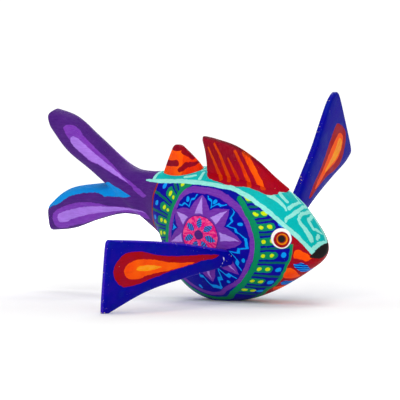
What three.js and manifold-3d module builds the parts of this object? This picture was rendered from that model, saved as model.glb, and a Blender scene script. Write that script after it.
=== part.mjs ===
// Painted wooden fish figurine: a carved body with its forked tail, two
// pectoral fins pushed into sockets in the flanks, and two dorsal fins
// pegged to the back. Millimetres. The fish is drawn upright, nose at the
// origin and looking along +X, then rolled onto its belly and right fin.
import * as THREE from "three";
import { mergeVertices } from "three/addons/utils/BufferGeometryUtils.js";
import Module from "manifold-3d";

const wasm = await Module();
wasm.setup();

// How the fish lies.
const rollAngle = THREE.MathUtils.degToRad(20.8);
const bellyFlatDepth = 1;

// Clearances between the pieces.
const seatGap = 0.3;
const fitGap = 0.2;

// The whole fish, measured from the nose.
const fishLength = 139.5;
const backHeight = 37;
const bellyDepth = 21.4;

// Widths of the trunk, from the snout to the tail.
const trunkHalfWidth = 20.6;
const snoutHalfWidth = 5.6;
const peduncleHalfWidth = 7.6;
const lobeHalfThickness = 4.7;

// Pectoral fins.
const finTwist = THREE.MathUtils.degToRad(10);
const finRootHalfThickness = 3.0;
const finMidHalfThickness = 2.0;
const finEndHalfThickness = 1.5;
const bladeInFlank = 6;
const tenonLength = 10;
const tenonInBlade = 4;
const tenonHalfHeight = 2.6;
const tenonHalfThickness = 1.9;

// A fullness above 1 bows a fin's edge out between its root and its end. Each
// root is a share of the fish's length, trunk half width and back height.
const rightFin = {
  root: [0.229, 0.961, 0.173],
  sweep: THREE.MathUtils.degToRad(8.5),
  rise: THREE.MathUtils.degToRad(16.2),
  length: 67.8,
  rootHalfHeight: 3.5,
  endHalfHeight: 15.9,
  upperFullness: 1.05,
  lowerFullness: 0.88,
};
const leftFin = {
  root: [0.19, 0.915, 0.173],
  sweep: THREE.MathUtils.degToRad(11.3),
  rise: THREE.MathUtils.degToRad(14.9),
  length: 73,
  rootHalfHeight: 4.3,
  endHalfHeight: 17.2,
  upperFullness: 0.87,
  lowerFullness: 1.16,
};

// Dorsal fins and the pegs that hold them.
const dorsalRise = 15;
const dorsalTipHeight = backHeight + dorsalRise;
const dorsalFootHalfThickness = 6.2;
const dorsalBladeHalfThickness = 3.6;
const dorsalTipHalfThickness = 1.5;
const rearDorsalRise = 10.6;
const rearDorsalTipHeight = backHeight + rearDorsalRise;
const rearDorsalFootHalfThickness = 5.5;
const rearDorsalBladeHalfThickness = 4.2;
const rearDorsalTipHalfThickness = 2.0;
const pegRadius = 1.3;
const pegInBody = 4.5;
const pegInFin = 4.2;

// Mesh resolution.
const bodyRings = 66;
const bodySides = 44;
const lobeRings = 26;
const lobeSides = 28;
const finRings = 26;
const finSides = 28;
const dorsalRings = 18;
const dorsalSides = 28;
const pegSides = 20;

// A smooth curve through a few points of the side view. Each point is a share
// of the fish's length behind the nose, and a share of the height given above
// the nose or of the belly's depth below it.
function sideCurve(points, height = backHeight) {
  const vectors = points.map(([behind, above]) => {
    const z = above > 0 ? above * height : above * bellyDepth;
    return new THREE.Vector3(-behind * fishLength, 0, z);
  });
  return new THREE.CatmullRomCurve3(vectors, false, "centripetal");
}

// A smooth value along 0..1 through a few (position, value) pairs.
function along(pairs) {
  const last = pairs.length - 1;
  return (u) => {
    let i = 0;
    while (i < last - 1 && u > pairs[i + 1][0]) {
      i += 1;
    }
    const [u0, v0] = pairs[i];
    const [u1, v1] = pairs[i + 1];
    const before = pairs[Math.max(i - 1, 0)];
    const after = pairs[Math.min(i + 2, last)];
    const slope0 = (v1 - before[1]) / Math.max(u1 - before[0], 1e-6);
    const slope1 = (after[1] - v0) / Math.max(after[0] - u0, 1e-6);
    const span = u1 - u0;
    const t = THREE.MathUtils.clamp((u - u0) / span, 0, 1);
    const t2 = t * t;
    const t3 = t2 * t;
    const start = (2 * t3 - 3 * t2 + 1) * v0 + (t3 - 2 * t2 + t) * span * slope0;
    const end = (3 * t2 - 2 * t3) * v1 + (t3 - t2) * span * slope1;
    return start + end;
  };
}

// Rounds a loft off over the given share of its length at either end.
function endRounding(u, startShare, endShare) {
  const a = startShare > 0 ? Math.min(u / startShare, 1) : 1;
  const b = endShare > 0 ? Math.min((1 - u) / endShare, 1) : 1;
  const roundA = Math.sqrt(Math.max(1 - (1 - a) * (1 - a), 0));
  const roundB = Math.sqrt(Math.max(1 - (1 - b) * (1 - b), 0));
  return Math.max(roundA * roundB, 0.04);
}

// A closed superellipse: 2 is an ellipse, larger is squarer.
function superRing(centre, up, side, squareness, count) {
  const ring = [];
  for (let i = 0; i < count; i += 1) {
    const angle = (2 * Math.PI * i) / count;
    const c = Math.cos(angle);
    const s = Math.sin(angle);
    const alongUp = Math.sign(c) * Math.abs(c) ** (2 / squareness);
    const alongSide = Math.sign(s) * Math.abs(s) ** (2 / squareness);
    const point = centre.clone();
    point.addScaledVector(up, alongUp);
    point.addScaledVector(side, alongSide);
    ring.push(point);
  }
  return ring;
}

// A closed solid through a list of rings, with a fan over either end.
function loft(rings) {
  const count = rings[0].length;
  const positions = [];
  const index = [];
  for (const ring of rings) {
    for (const point of ring) {
      positions.push(point.x, point.y, point.z);
    }
  }
  for (let r = 0; r < rings.length - 1; r += 1) {
    for (let i = 0; i < count; i += 1) {
      const j = (i + 1) % count;
      const a = r * count + i;
      const b = r * count + j;
      const c = (r + 1) * count + i;
      const d = (r + 1) * count + j;
      index.push(a, b, d, a, d, c);
    }
  }
  for (const r of [0, rings.length - 1]) {
    const middle = new THREE.Vector3();
    for (const point of rings[r]) {
      middle.addScaledVector(point, 1 / count);
    }
    const hub = positions.length / 3;
    positions.push(middle.x, middle.y, middle.z);
    for (let i = 0; i < count; i += 1) {
      const a = r * count + i;
      const b = r * count + ((i + 1) % count);
      if (r === 0) {
        index.push(hub, b, a);
      } else {
        index.push(hub, a, b);
      }
    }
  }
  const geometry = new THREE.BufferGeometry();
  geometry.setAttribute("position", new THREE.Float32BufferAttribute(positions, 3));
  geometry.setIndex(index);
  return solid(geometry);
}

// Six times the volume, negative where the faces look inwards.
function signedVolume(positions, index) {
  const a = new THREE.Vector3();
  const b = new THREE.Vector3();
  const c = new THREE.Vector3();
  let total = 0;
  for (let i = 0; i < index.length; i += 3) {
    a.fromArray(positions, index[i] * 3);
    b.fromArray(positions, index[i + 1] * 3);
    c.fromArray(positions, index[i + 2] * 3);
    total += a.dot(b.cross(c));
  }
  return total;
}

// Geometry to a boolean solid, its faces turned outwards.
function solid(geometry) {
  const bare = geometry.clone();
  bare.deleteAttribute("normal");
  bare.deleteAttribute("uv");
  const merged = mergeVertices(bare, 1e-4);
  const positions = new Float32Array(merged.attributes.position.array);
  const index = new Uint32Array(merged.index.array);
  if (signedVolume(positions, index) < 0) {
    for (let i = 0; i < index.length; i += 3) {
      const keep = index[i];
      index[i] = index[i + 1];
      index[i + 1] = keep;
    }
  }
  const mesh = new wasm.Mesh({ numProp: 3, vertProperties: positions, triVerts: index });
  mesh.merge();
  return new wasm.Manifold(mesh);
}

// A boolean solid back to geometry, in the row's frame.
function geometryOf(manifold) {
  const mesh = manifold.getMesh();
  const geometry = new THREE.BufferGeometry();
  const positions = new Float32Array(mesh.vertProperties);
  geometry.setAttribute("position", new THREE.BufferAttribute(positions, 3));
  geometry.setIndex(new THREE.BufferAttribute(new Uint32Array(mesh.triVerts), 1));
  return geometry;
}

// Side view of the trunk: the back and the belly, each ending at the tail.
const backLine = sideCurve([
  [-0.022, 0.076],
  [0.014, 0.324],
  [0.079, 0.649],
  [0.172, 0.865],
  [0.272, 0.978],
  [0.373, 1],
  [0.473, 0.968],
  [0.573, 0.93],
  [0.659, 1.027],
  [0.746, 1.351],
  [0.824, 1.608],
  [0.889, 1.716],
]);
const bellyLine = sideCurve([
  [-0.022, -0.084],
  [0.022, -0.28],
  [0.086, -0.523],
  [0.179, -0.804],
  [0.28, -0.972],
  [0.387, -1],
  [0.473, -0.738],
  [0.527, 0.054],
  [0.631, 0.473],
  [0.774, 0.919],
  [0.86, 1.216],
  [0.907, 1.527],
]);
const trunkHalf = along([
  [0, snoutHalfWidth],
  [0.09, 0.466 * trunkHalfWidth],
  [0.18, 0.689 * trunkHalfWidth],
  [0.27, 0.903 * trunkHalfWidth],
  [0.36, trunkHalfWidth],
  [0.45, 0.981 * trunkHalfWidth],
  [0.55, 0.777 * trunkHalfWidth],
  [0.64, 1.105 * peduncleHalfWidth],
  [0.73, peduncleHalfWidth],
  [0.82, 1.149 * lobeHalfThickness],
  [1, lobeHalfThickness],
]);
const trunkSquareness = along([
  [0, 2.3],
  [0.5, 2.15],
  [0.72, 2.5],
  [1, 3.2],
]);

// The trunk and upper tail lobe, grown by an even margin.
function trunk(margin) {
  const rings = [];
  for (let r = 0; r < bodyRings; r += 1) {
    const u = r / (bodyRings - 1);
    const back = backLine.getPoint(u);
    const belly = bellyLine.getPoint(u);
    const rounding = endRounding(u, 0.06, 0.03);
    const centre = back.clone().add(belly).multiplyScalar(0.5);
    const up = back.clone().sub(centre);
    up.setLength(up.length() * rounding + margin);
    const side = new THREE.Vector3(0, trunkHalf(u) * rounding + margin, 0);
    rings.push(superRing(centre, up, side, trunkSquareness(u), bodySides));
  }
  return loft(rings);
}

// The lower tail lobe, which starts inside the trunk.
function lowerLobe() {
  const upper = sideCurve([
    [0.559, 0.703],
    [0.695, 0.811],
    [0.803, 0.768],
    [0.918, 0.676],
    [1, 0.497],
  ]);
  const lower = sideCurve([
    [0.559, 0.351],
    [0.681, 0.443],
    [0.796, 0.362],
    [0.91, 0.222],
    [0.993, 0.211],
  ]);
  const half = along([
    [0, 1.064 * lobeHalfThickness],
    [0.3, 1.404 * lobeHalfThickness],
    [0.7, 1.277 * lobeHalfThickness],
    [1, lobeHalfThickness],
  ]);
  const squareness = along([
    [0, 2],
    [0.4, 3],
    [1, 3.4],
  ]);
  const rings = [];
  for (let r = 0; r < lobeRings; r += 1) {
    const u = r / (lobeRings - 1);
    const top = upper.getPoint(u);
    const bottom = lower.getPoint(u);
    const rounding = endRounding(u, 0, 0.035);
    const centre = top.clone().add(bottom).multiplyScalar(0.5);
    const up = top.clone().sub(centre).multiplyScalar(rounding);
    const side = new THREE.Vector3(0, half(u) * rounding, 0);
    rings.push(superRing(centre, up, side, squareness(u), lobeSides));
  }
  return loft(rings);
}

// The middle of a fin's root, drawn on the left.
function finRoot({ root: [behind, aside, above] }) {
  return new THREE.Vector3(-behind * fishLength, aside * trunkHalfWidth, above * backHeight);
}

// A pectoral fin's own directions, drawn on the left: out, up and forward.
function finAxes({ sweep, rise: lift }) {
  const out = new THREE.Vector3(
    -Math.sin(sweep) * Math.cos(lift),
    Math.cos(sweep) * Math.cos(lift),
    Math.sin(lift),
  );
  const forward = new THREE.Vector3(1, 0, 0);
  forward.addScaledVector(out, -forward.dot(out)).normalize();
  const up = forward.clone().cross(out).normalize();
  const ahead = forward.clone().multiplyScalar(Math.cos(finTwist));
  ahead.addScaledVector(up, -Math.sin(finTwist));
  const rise = up.clone().multiplyScalar(Math.cos(finTwist));
  rise.addScaledVector(forward, Math.sin(finTwist));
  return { out, up: rise, ahead };
}

// A fin's blade, from inside the flank to its broad end.
function finBlade(fin) {
  const { out, up, ahead } = finAxes(fin);
  const { length, rootHalfHeight, endHalfHeight, upperFullness, lowerFullness } = fin;
  const start = -bladeInFlank;
  const upperEdge = along([
    [0, rootHalfHeight * 0.85],
    [0.1, rootHalfHeight],
    [0.42, endHalfHeight * 0.53 * upperFullness],
    [0.7, endHalfHeight * 0.74 * upperFullness],
    [1, endHalfHeight * 0.975],
  ]);
  const lowerEdge = along([
    [0, rootHalfHeight * 0.85],
    [0.1, rootHalfHeight],
    [0.42, endHalfHeight * 0.41 * lowerFullness],
    [0.7, endHalfHeight * 0.62 * lowerFullness],
    [1, endHalfHeight],
  ]);
  const half = along([
    [0, finRootHalfThickness],
    [0.25, finRootHalfThickness * 0.833],
    [0.6, finMidHalfThickness],
    [1, finEndHalfThickness],
  ]);
  const rings = [];
  for (let r = 0; r < finRings; r += 1) {
    const u = r / (finRings - 1);
    const rounding = endRounding(u, 0, 0.025);
    const top = upperEdge(u);
    const bottom = -lowerEdge(u);
    const centre = finRoot(fin);
    centre.addScaledVector(out, start + (length - start) * u);
    centre.addScaledVector(up, (top + bottom) / 2);
    const edge = 1 - (1 - rounding) * 0.12;
    const rise = up.clone().multiplyScalar(((top - bottom) / 2) * edge);
    const side = ahead.clone().multiplyScalar(half(u) * (0.45 + 0.55 * rounding));
    rings.push(superRing(centre, rise, side, 2.2 + 3.3 * u, finSides));
  }
  return loft(rings);
}

// A fin's tenon, or with a margin the socket it sits in.
function finTenon(fin, margin) {
  const { out, up, ahead } = finAxes(fin);
  const rings = [];
  const inner = -tenonLength - margin;
  const outer = tenonInBlade + margin * 10;
  for (const s of [inner, outer]) {
    const centre = finRoot(fin).addScaledVector(out, s);
    const rise = up.clone().multiplyScalar(tenonHalfHeight + margin);
    const side = ahead.clone().multiplyScalar(tenonHalfThickness + margin);
    rings.push(superRing(centre, rise, side, 2.6, finSides));
  }
  return loft(rings);
}

// A dorsal fin between its rear and front edges, from base to tip.
function dorsal({ rearEdge, frontEdge, tipHeight, half, squareness }) {
  const rear = sideCurve(rearEdge, tipHeight);
  const front = sideCurve(frontEdge, tipHeight);
  const rings = [];
  for (let r = 0; r < dorsalRings; r += 1) {
    const u = r / (dorsalRings - 1);
    const a = rear.getPoint(u);
    const b = front.getPoint(u);
    const rounding = endRounding(u, 0, 0.08);
    const centre = a.clone().add(b).multiplyScalar(0.5);
    const length = b.clone().sub(centre).multiplyScalar(0.35 + 0.65 * rounding);
    const side = new THREE.Vector3(0, half(u) * rounding, 0);
    rings.push(superRing(centre, length, side, squareness, dorsalSides));
  }
  return loft(rings);
}

// A round peg standing through the seat of a dorsal fin.
function peg(x, seat, margin) {
  const rings = [];
  for (const z of [seat - pegInBody - margin, seat + pegInFin + margin]) {
    const centre = new THREE.Vector3(x, 0, z);
    const up = new THREE.Vector3(pegRadius + margin, 0, 0);
    const side = new THREE.Vector3(0, pegRadius + margin, 0);
    rings.push(superRing(centre, up, side, 2, pegSides));
  }
  return loft(rings);
}

const grownTrunk = trunk(seatGap);
const fishBody = trunk(0).add(lowerLobe());

const acrossFish = [0, 1, 0];
const leftPectoral = finBlade(leftFin).subtract(grownTrunk).add(finTenon(leftFin, 0));
const leftSocket = finTenon(leftFin, fitGap);
const rightOnLeft = finBlade(rightFin).subtract(grownTrunk).add(finTenon(rightFin, 0));
const rightPectoral = rightOnLeft.mirror(acrossFish);
const rightSocket = finTenon(rightFin, fitGap).mirror(acrossFish);

const frontDorsalHalf = along([
  [0, dorsalFootHalfThickness],
  [0.35, dorsalBladeHalfThickness],
  [1, dorsalTipHalfThickness],
]);
const frontDorsal = dorsal({
  rearEdge: [[0.366, 0.577], [0.347, 0.712], [0.34, 0.846], [0.344, 0.992]],
  frontEdge: [[0.075, 0.423], [0.111, 0.644], [0.176, 0.865], [0.301, 1]],
  tipHeight: dorsalTipHeight,
  half: frontDorsalHalf,
  squareness: 2.3,
}).subtract(grownTrunk);
const rearDorsalHalf = along([
  [0, rearDorsalFootHalfThickness],
  [0.4, rearDorsalBladeHalfThickness],
  [1, rearDorsalTipHalfThickness],
]);
const rearDorsal = dorsal({
  rearEdge: [[0.545, 0.609], [0.516, 0.725], [0.484, 0.861], [0.455, 1]],
  frontEdge: [[0.351, 0.672], [0.376, 0.798], [0.401, 0.903], [0.43, 1]],
  tipHeight: rearDorsalTipHeight,
  half: rearDorsalHalf,
  squareness: 2.8,
}).subtract(grownTrunk);

const pegs = {
  front_dorsal_peg_front: [-0.194 * fishLength, 0.892 * backHeight],
  front_dorsal_peg_rear: [-0.308 * fishLength, 0.989 * backHeight],
  rear_dorsal_peg: [-0.444 * fishLength, 0.978 * backHeight],
};
let drilledBody = fishBody.subtract(leftSocket).subtract(rightSocket);
let drilledFront = frontDorsal;
let drilledRear = rearDorsal;
for (const [name, [x, seat]] of Object.entries(pegs)) {
  const hole = peg(x, seat, fitGap);
  drilledBody = drilledBody.subtract(hole);
  if (name.startsWith("front")) {
    drilledFront = drilledFront.subtract(hole);
  } else {
    drilledRear = drilledRear.subtract(hole);
  }
}

// Roll the fish over and sand what touches the table flat.
const rollDegrees = THREE.MathUtils.radToDeg(rollAngle);
const rolledBody = drilledBody.rotate([rollDegrees, 0, 0]);
const tableHeight = rolledBody.boundingBox().min[2] + bellyFlatDepth;
const keepAbove = (piece) => piece.rotate([rollDegrees, 0, 0]).trimByPlane([0, 0, 1], tableHeight);

const pieces = {
  carved_body: keepAbove(drilledBody),
  right_pectoral_fin: keepAbove(rightPectoral),
  left_pectoral_fin: keepAbove(leftPectoral),
  front_dorsal_fin: keepAbove(drilledFront),
  rear_dorsal_fin: keepAbove(drilledRear),
};
for (const [name, [x, seat]] of Object.entries(pegs)) {
  pieces[name] = keepAbove(peg(x, seat, 0));
}

const paint = {
  carved_body: new THREE.MeshStandardMaterial({ color: 0x33239a, roughness: 0.5, metalness: 0 }),
  right_pectoral_fin: new THREE.MeshStandardMaterial({ color: 0x14149a, roughness: 0.5, metalness: 0 }),
  left_pectoral_fin: new THREE.MeshStandardMaterial({ color: 0x14149a, roughness: 0.5, metalness: 0 }),
  front_dorsal_fin: new THREE.MeshStandardMaterial({ color: 0xa3142b, roughness: 0.5, metalness: 0 }),
  rear_dorsal_fin: new THREE.MeshStandardMaterial({ color: 0xf25a10, roughness: 0.5, metalness: 0 }),
};
const bareWood = new THREE.MeshStandardMaterial({ color: 0xd8b98c, roughness: 0.7, metalness: 0 });

// The row's origin is under the middle of the whole figurine.
const box = new THREE.Box3();
for (const piece of Object.values(pieces)) {
  const { min, max } = piece.boundingBox();
  box.expandByPoint(new THREE.Vector3(...min));
  box.expandByPoint(new THREE.Vector3(...max));
}
const middle = box.getCenter(new THREE.Vector3());
const shift = [-middle.x, -middle.y, -box.min.z];

const fish = new THREE.Group();
fish.name = "fish_figurine";
for (const [name, piece] of Object.entries(pieces)) {
  const mesh = new THREE.Mesh(geometryOf(piece.translate(shift)), paint[name] ?? bareWood);
  mesh.name = name;
  fish.add(mesh);
}

export default fish;
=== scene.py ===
"""Looks of the painted wooden fish figurine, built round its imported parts.

Shapes are worked out in the fish's own frame: millimetres, nose at the
origin, +X ahead, +Y to the fish's left, +Z up. to_row() rolls them over onto
the table, into the row's frame.
"""

import math

import bpy
import numpy as np
from mathutils import Matrix, Vector


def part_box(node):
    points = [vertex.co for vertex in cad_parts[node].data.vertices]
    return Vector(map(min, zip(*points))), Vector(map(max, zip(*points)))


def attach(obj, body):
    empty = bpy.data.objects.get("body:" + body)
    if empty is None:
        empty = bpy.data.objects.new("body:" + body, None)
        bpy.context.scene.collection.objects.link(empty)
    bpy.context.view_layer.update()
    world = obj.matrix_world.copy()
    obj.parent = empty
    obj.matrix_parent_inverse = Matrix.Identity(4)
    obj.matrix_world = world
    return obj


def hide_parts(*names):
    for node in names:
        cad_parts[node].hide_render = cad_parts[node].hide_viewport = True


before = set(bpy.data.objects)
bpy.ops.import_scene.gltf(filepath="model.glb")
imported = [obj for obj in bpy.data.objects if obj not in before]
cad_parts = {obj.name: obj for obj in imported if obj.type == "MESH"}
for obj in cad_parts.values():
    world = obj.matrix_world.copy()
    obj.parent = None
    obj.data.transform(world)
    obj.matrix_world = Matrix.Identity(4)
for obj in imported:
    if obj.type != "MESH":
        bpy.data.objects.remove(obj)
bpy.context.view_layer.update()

bl_info = {
    "name": "Painted Fish Figurine",
    "version": (1, 0, 0),
    "blender": (4, 5, 0),
    "location": "View3D > Sidebar > Fish",
    "description": "Builds a painted wooden fish figurine and its stage",
    "category": "Add Mesh",
}

MM = 0.001

# Side view of the trunk as (share of the length behind the nose, share of
# the height above it or of the belly's depth below it).
BACK_LINE = [
    (-0.018, 0.076), (0.014, 0.322), (0.079, 0.649), (0.172, 0.865),
    (0.272, 0.978), (0.373, 1), (0.473, 0.968), (0.573, 0.948),
    (0.659, 1.012), (0.746, 1.359), (0.815, 1.61), (0.904, 1.71),
]
BELLY_LINE = [
    (-0.018, -0.08), (0.022, -0.235), (0.086, -0.468), (0.179, -0.752),
    (0.28, -0.95), (0.387, -1), (0.473, -0.738), (0.527, 0.054),
    (0.631, 0.473), (0.774, 0.945), (0.86, 1.222), (0.897, 1.527),
]
LOBE_TOP = [(0.559, 0.703), (0.695, 0.785), (0.803, 0.76), (0.918, 0.69), (0.994, 0.52)]
LOBE_BOTTOM = [(0.559, 0.351), (0.681, 0.443), (0.796, 0.362), (0.91, 0.233), (1.01, 0.19)]

# Pectoral fins: root as shares of length, half width and height, then angles
# in degrees and lengths in millimetres.
FINS = {
    "right": {
        "root": (0.229, 0.961, 0.173), "sweep": 8.5, "rise": 16.2, "length": 67.8,
        "root_half": 3.5, "side": -1, "top": [(0.42, 8.8), (0.7, 12.4), (1, 15.5)],
        "bottom": [(0.42, 5.7), (0.7, 8.7), (1, 15.9)],
    },
    "left": {
        "root": (0.19, 0.915, 0.173), "sweep": 11.3, "rise": 14.9, "length": 73.0,
        "root_half": 4.3, "side": 1,
        "top": [(0.42, 8.3), (0.57, 10.4), (0.67, 12.6), (0.78, 15.1), (0.87, 16.7),
                (0.93, 16.7), (0.97, 15.9), (1, 14)],
        "bottom": [(0.42, 8.2), (0.7, 13.3), (0.82, 15.9), (0.91, 17.5), (1, 17.9)],
    },
}
FIN_TWIST = 10.0

# How far out along a fin: where its blade starts, hidden in the flank, a place
# that is always inside the trunk, one always outside, and the socket's mouth.
BLADE_START = -6.0
INSIDE_TRUNK = -9.0
OUTSIDE_TRUNK = 16.0
SOCKET_MOUTH = 6.0
OUTSIDE_FLANK = 20.0

TENON_LENGTH = 10.0
TENON_HALF_HEIGHT = 2.6
TENON_HALF_THICKNESS = 1.9
TENON_SQUARENESS = 2.6
FIT_GAP = 0.2
SEAT_GAP = 0.3

# Where the tail forks, and how far and how many times its joint is smoothed.
FORK_MIDDLE = (-89.0, 0.0, 22.0)
FORK_REACH = 13.0
FORK_ROUNDS = 45

# Dorsal fins: rear and front edges as shares of the length and of the tip's
# height over the back, then half widths in millimetres and squareness by
# share of the height.
DORSALS = {
    "front": {
        "rear": [(0.358, 0.577), (0.341, 0.712), (0.334, 0.846), (0.333, 0.995)],
        "front": [(0.098, 0.49), (0.126, 0.617), (0.165, 0.766), (0.225, 0.906), (0.322, 0.995)],
        "over_back": 15, "half": [(0, 6.2), (0.3, 3.8), (1, 1.5)],
        "squareness": [(0, 3.6), (0.3, 2.8), (1, 2.4)], "skew": 0.0, "bow": 0.0045,
    },
    "rear": {
        "rear": [(0.547, 0.609), (0.517, 0.725), (0.485, 0.861), (0.448, 1.008)],
        "front": [(0.35, 0.672), (0.366, 0.8), (0.392, 0.908), (0.422, 1.0)],
        "over_back": 10.6, "half": [(0, 5.5), (0.4, 4.2), (1, 1.8)],
        "squareness": [(0, 1.8), (1, 1.6)], "skew": 0.25, "bow": 0.0,
    },
}
BOW_START = 47.0
DORSAL_SINK = 0.35

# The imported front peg's middle: shares of the length and of the back's
# height, and how much lower than that it stands in millimetres.
FRONT_PEG = (0.194, 0.892, 0.15)

# Grids as (rings, points in a ring), and the angles in degrees beyond which
# an edge is kept sharp.
TRUNK_GRID = (260, 200)
LOBE_GRID = (150, 120)
BODY_SHARP, PECTORAL_SHARP, DORSAL_SHARP = 40, 38, 45

# Paint in millimetres: half the width of a soft border, how far raised paint
# stands out, how far a line wobbles, how far two curves cross at their ends,
# and the share of a curve's vertical distance taken as distance to it.
PAINT_EDGE = 0.13
PAINT_RELIEF = 0.09
WOBBLE, DORSAL_WOBBLE, EYE_WOBBLE = 0.9, 0.7, 0.3
END_CROSSING = 0.35
CURVE_SLOPE = 0.85

# Area lights as (name, place, size, power), in metres and watts.
LIGHTS = (
    ("key", (0.3, -0.5, 0.9), 0.5, 2.6),
    ("fill", (-0.8, -0.4, 0.6), 0.8, 1.0),
    ("back", (-0.35, 0.75, 0.5), 0.6, 3.6),
    ("top", (-0.05, 0.15, 1.1), 0.5, 2.7),
    ("front", (0.55, -0.85, 0.35), 0.9, 4.3),
)
LIGHT_TARGET = (0.0, 0.0, 0.03)

# The camera: its angles in degrees, its distance from what it is aimed at, and
# how far above and to the left of that it looks, in metres.
CAMERA_AZIMUTH, CAMERA_ELEVATION = 38, 3
CAMERA_LENS, SENSOR_WIDTH = 257.1, 36
CAMERA_AIM = (0.010, 0, 0.030)
CAMERA_DISTANCE = 1.2
LOOK_ABOVE, LOOK_LEFT = 0.0118, 0.0010

# The part of the trunk that fins stand on, and how finely it is searched.
TRUNK_START, TRUNK_END = 0.01, 0.82
TABLE_SIZE = 1200
LEVEL_HALVINGS = 22
PATH_HALVINGS = 24


def length_property(label, use, default):
    """A length in metres that the panel shows."""
    return bpy.props.FloatProperty(name=label, description=use, default=default, unit="LENGTH")


class FishSizes(bpy.types.PropertyGroup):
    """Overall sizes of the fish."""

    fish_length: length_property("Length", "Nose to tail tip", 0.1395)
    back_height: length_property("Back height", "Nose up to the back", 0.037)
    belly_depth: length_property("Belly depth", "Nose down to the belly", 0.0214)
    half_width: length_property("Half width", "Middle to flank", 0.0206)
    snout_half: length_property("Snout half width", "Half width behind the nose", 0.0056)
    peduncle_half: length_property("Peduncle half width", "Half width before the tail", 0.0076)
    lobe_half: length_property("Lobe half thickness", "Half thickness of a tail lobe", 0.0047)
    roll: bpy.props.FloatProperty(
        name="Roll", description="How far the fish lies over", default=math.radians(20.8),
        subtype="ANGLE",
    )
    grain: length_property("Body grid", "Size of the body's faces", 0.0005)


def sizes():
    """The sizes in millimetres, by name."""
    group = bpy.context.scene.fish_sizes
    names = [name for name in FishSizes.__annotations__ if name not in ("roll", "grain")]
    return {name: getattr(group, name) / MM for name in names}


def roll_matrix():
    """Rotation from the fish's own frame to the row's."""
    a = bpy.context.scene.fish_sizes.roll
    return np.array([[1, 0, 0], [0, math.cos(a), -math.sin(a)], [0, math.sin(a), math.cos(a)]])


def row_offset():
    """Where the nose is in the row, in millimetres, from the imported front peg."""
    s = sizes()
    low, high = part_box("front_dorsal_peg_front")
    middle = np.array((Vector(low) + Vector(high)) / 2) / MM
    behind, height, drop = FRONT_PEG
    peg = np.array([-behind * s["fish_length"], 0, height * s["back_height"] - drop])
    return middle - roll_matrix() @ peg


def to_row(points):
    """Fish frame, millimetres, to row frame, metres."""
    return (points @ roll_matrix().T + row_offset()) * MM


def to_fish(points):
    """Row frame, metres, to fish frame, millimetres."""
    return (points / MM - row_offset()) @ roll_matrix()


def side_curve(points, u, height=None):
    """Centripetal Catmull-Rom curve through the side view's points, as (x, z)."""
    s = sizes()
    height = height or s["back_height"]
    depth = s["belly_depth"]
    p = np.array([[-a * s["fish_length"], b * (height if b > 0 else depth)] for a, b in points])
    q = np.vstack([2 * p[0] - p[1], p, 2 * p[-1] - p[-2]])
    f = np.clip(u, 0, 1) * (len(p) - 1)
    i = np.minimum(np.floor(f).astype(int), len(p) - 2)
    w = (f - i)[..., None]
    p0, p1, p2, p3 = q[i], q[i + 1], q[i + 2], q[i + 3]
    steps = ((p0, p1), (p1, p2), (p2, p3))
    d0, d1, d2 = (((a - b) ** 2).sum(-1)[..., None] ** 0.25 for a, b in steps)
    t1 = ((p1 - p0) / d0 - (p2 - p0) / (d0 + d1) + (p2 - p1) / d1) * d1
    t2 = ((p2 - p1) / d1 - (p3 - p1) / (d1 + d2) + (p3 - p2) / d2) * d1
    square, cube = -3 * p1 + 3 * p2 - 2 * t1 - t2, 2 * p1 - 2 * p2 + t1 + t2
    return p1 + t1 * w + square * w**2 + cube * w**3


def along(pairs, u):
    """Smooth value through (position, value) pairs: Hermite, slopes from the neighbours."""
    x, v = np.array(pairs, float).T
    i = np.clip(np.searchsorted(x, u, side="left") - 1, 0, len(x) - 2)
    before, after = np.maximum(i - 1, 0), np.minimum(i + 2, len(x) - 1)
    m0 = (v[i + 1] - v[before]) / np.maximum(x[i + 1] - x[before], 1e-6)
    m1 = (v[after] - v[i]) / np.maximum(x[after] - x[i], 1e-6)
    span = x[i + 1] - x[i]
    t = np.clip((u - x[i]) / span, 0, 1)
    start = (2 * t**3 - 3 * t**2 + 1) * v[i] + (t**3 - 2 * t**2 + t) * span * m0
    return start + (3 * t**2 - 2 * t**3) * v[i + 1] + (t**3 - t**2) * span * m1


def end_rounding(u, start, end):
    """1 in the middle, falling as a quarter circle to 0.04 over the share at either end."""
    a = np.minimum(u / start, 1) if start else 1.0
    b = np.minimum((1 - u) / end, 1) if end else 1.0
    first, last = (np.sqrt(np.maximum(1 - (1 - share) ** 2, 0)) for share in (a, b))
    return np.maximum(first * last, 0.04)


def section(angle, squareness):
    """(up, side) of a unit superellipse at an angle: |up|^n + |side|^n = 1."""
    c, s = np.cos(angle), np.sin(angle)
    power = 2 / squareness
    return np.sign(c) * np.abs(c) ** power, np.sign(s) * np.abs(s) ** power


def spaced(count, ends=0.6):
    """count positions in 0..1, closer together at the ends."""
    v = np.linspace(0, 1, count)
    return (1 - ends) * v + ends * (1 - np.cos(np.pi * v)) / 2


def trunk_section(u):
    """The trunk's centre, up arm, half width and squareness at u."""
    s = sizes()
    back, belly = side_curve(BACK_LINE, u), side_curve(BELLY_LINE, u)
    rounding = end_rounding(u, 0.06, 0.014)
    w, p, l = s["half_width"], s["peduncle_half"], s["lobe_half"]
    half = along([
        (0, s["snout_half"]), (0.09, 0.466 * w), (0.18, 0.689 * w), (0.27, 0.903 * w), (0.36, w),
        (0.45, 0.981 * w), (0.55, 0.777 * w), (0.64, 1.105 * p), (0.73, p), (0.82, 1.149 * l),
        (1, l),
    ], u)
    square = along([(0, 2.3), (0.5, 2.15), (0.72, 2.5), (1, 3.2)], u)
    centre = (back + belly) / 2
    return centre, (back - centre) * rounding[..., None], half * rounding, square


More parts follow.
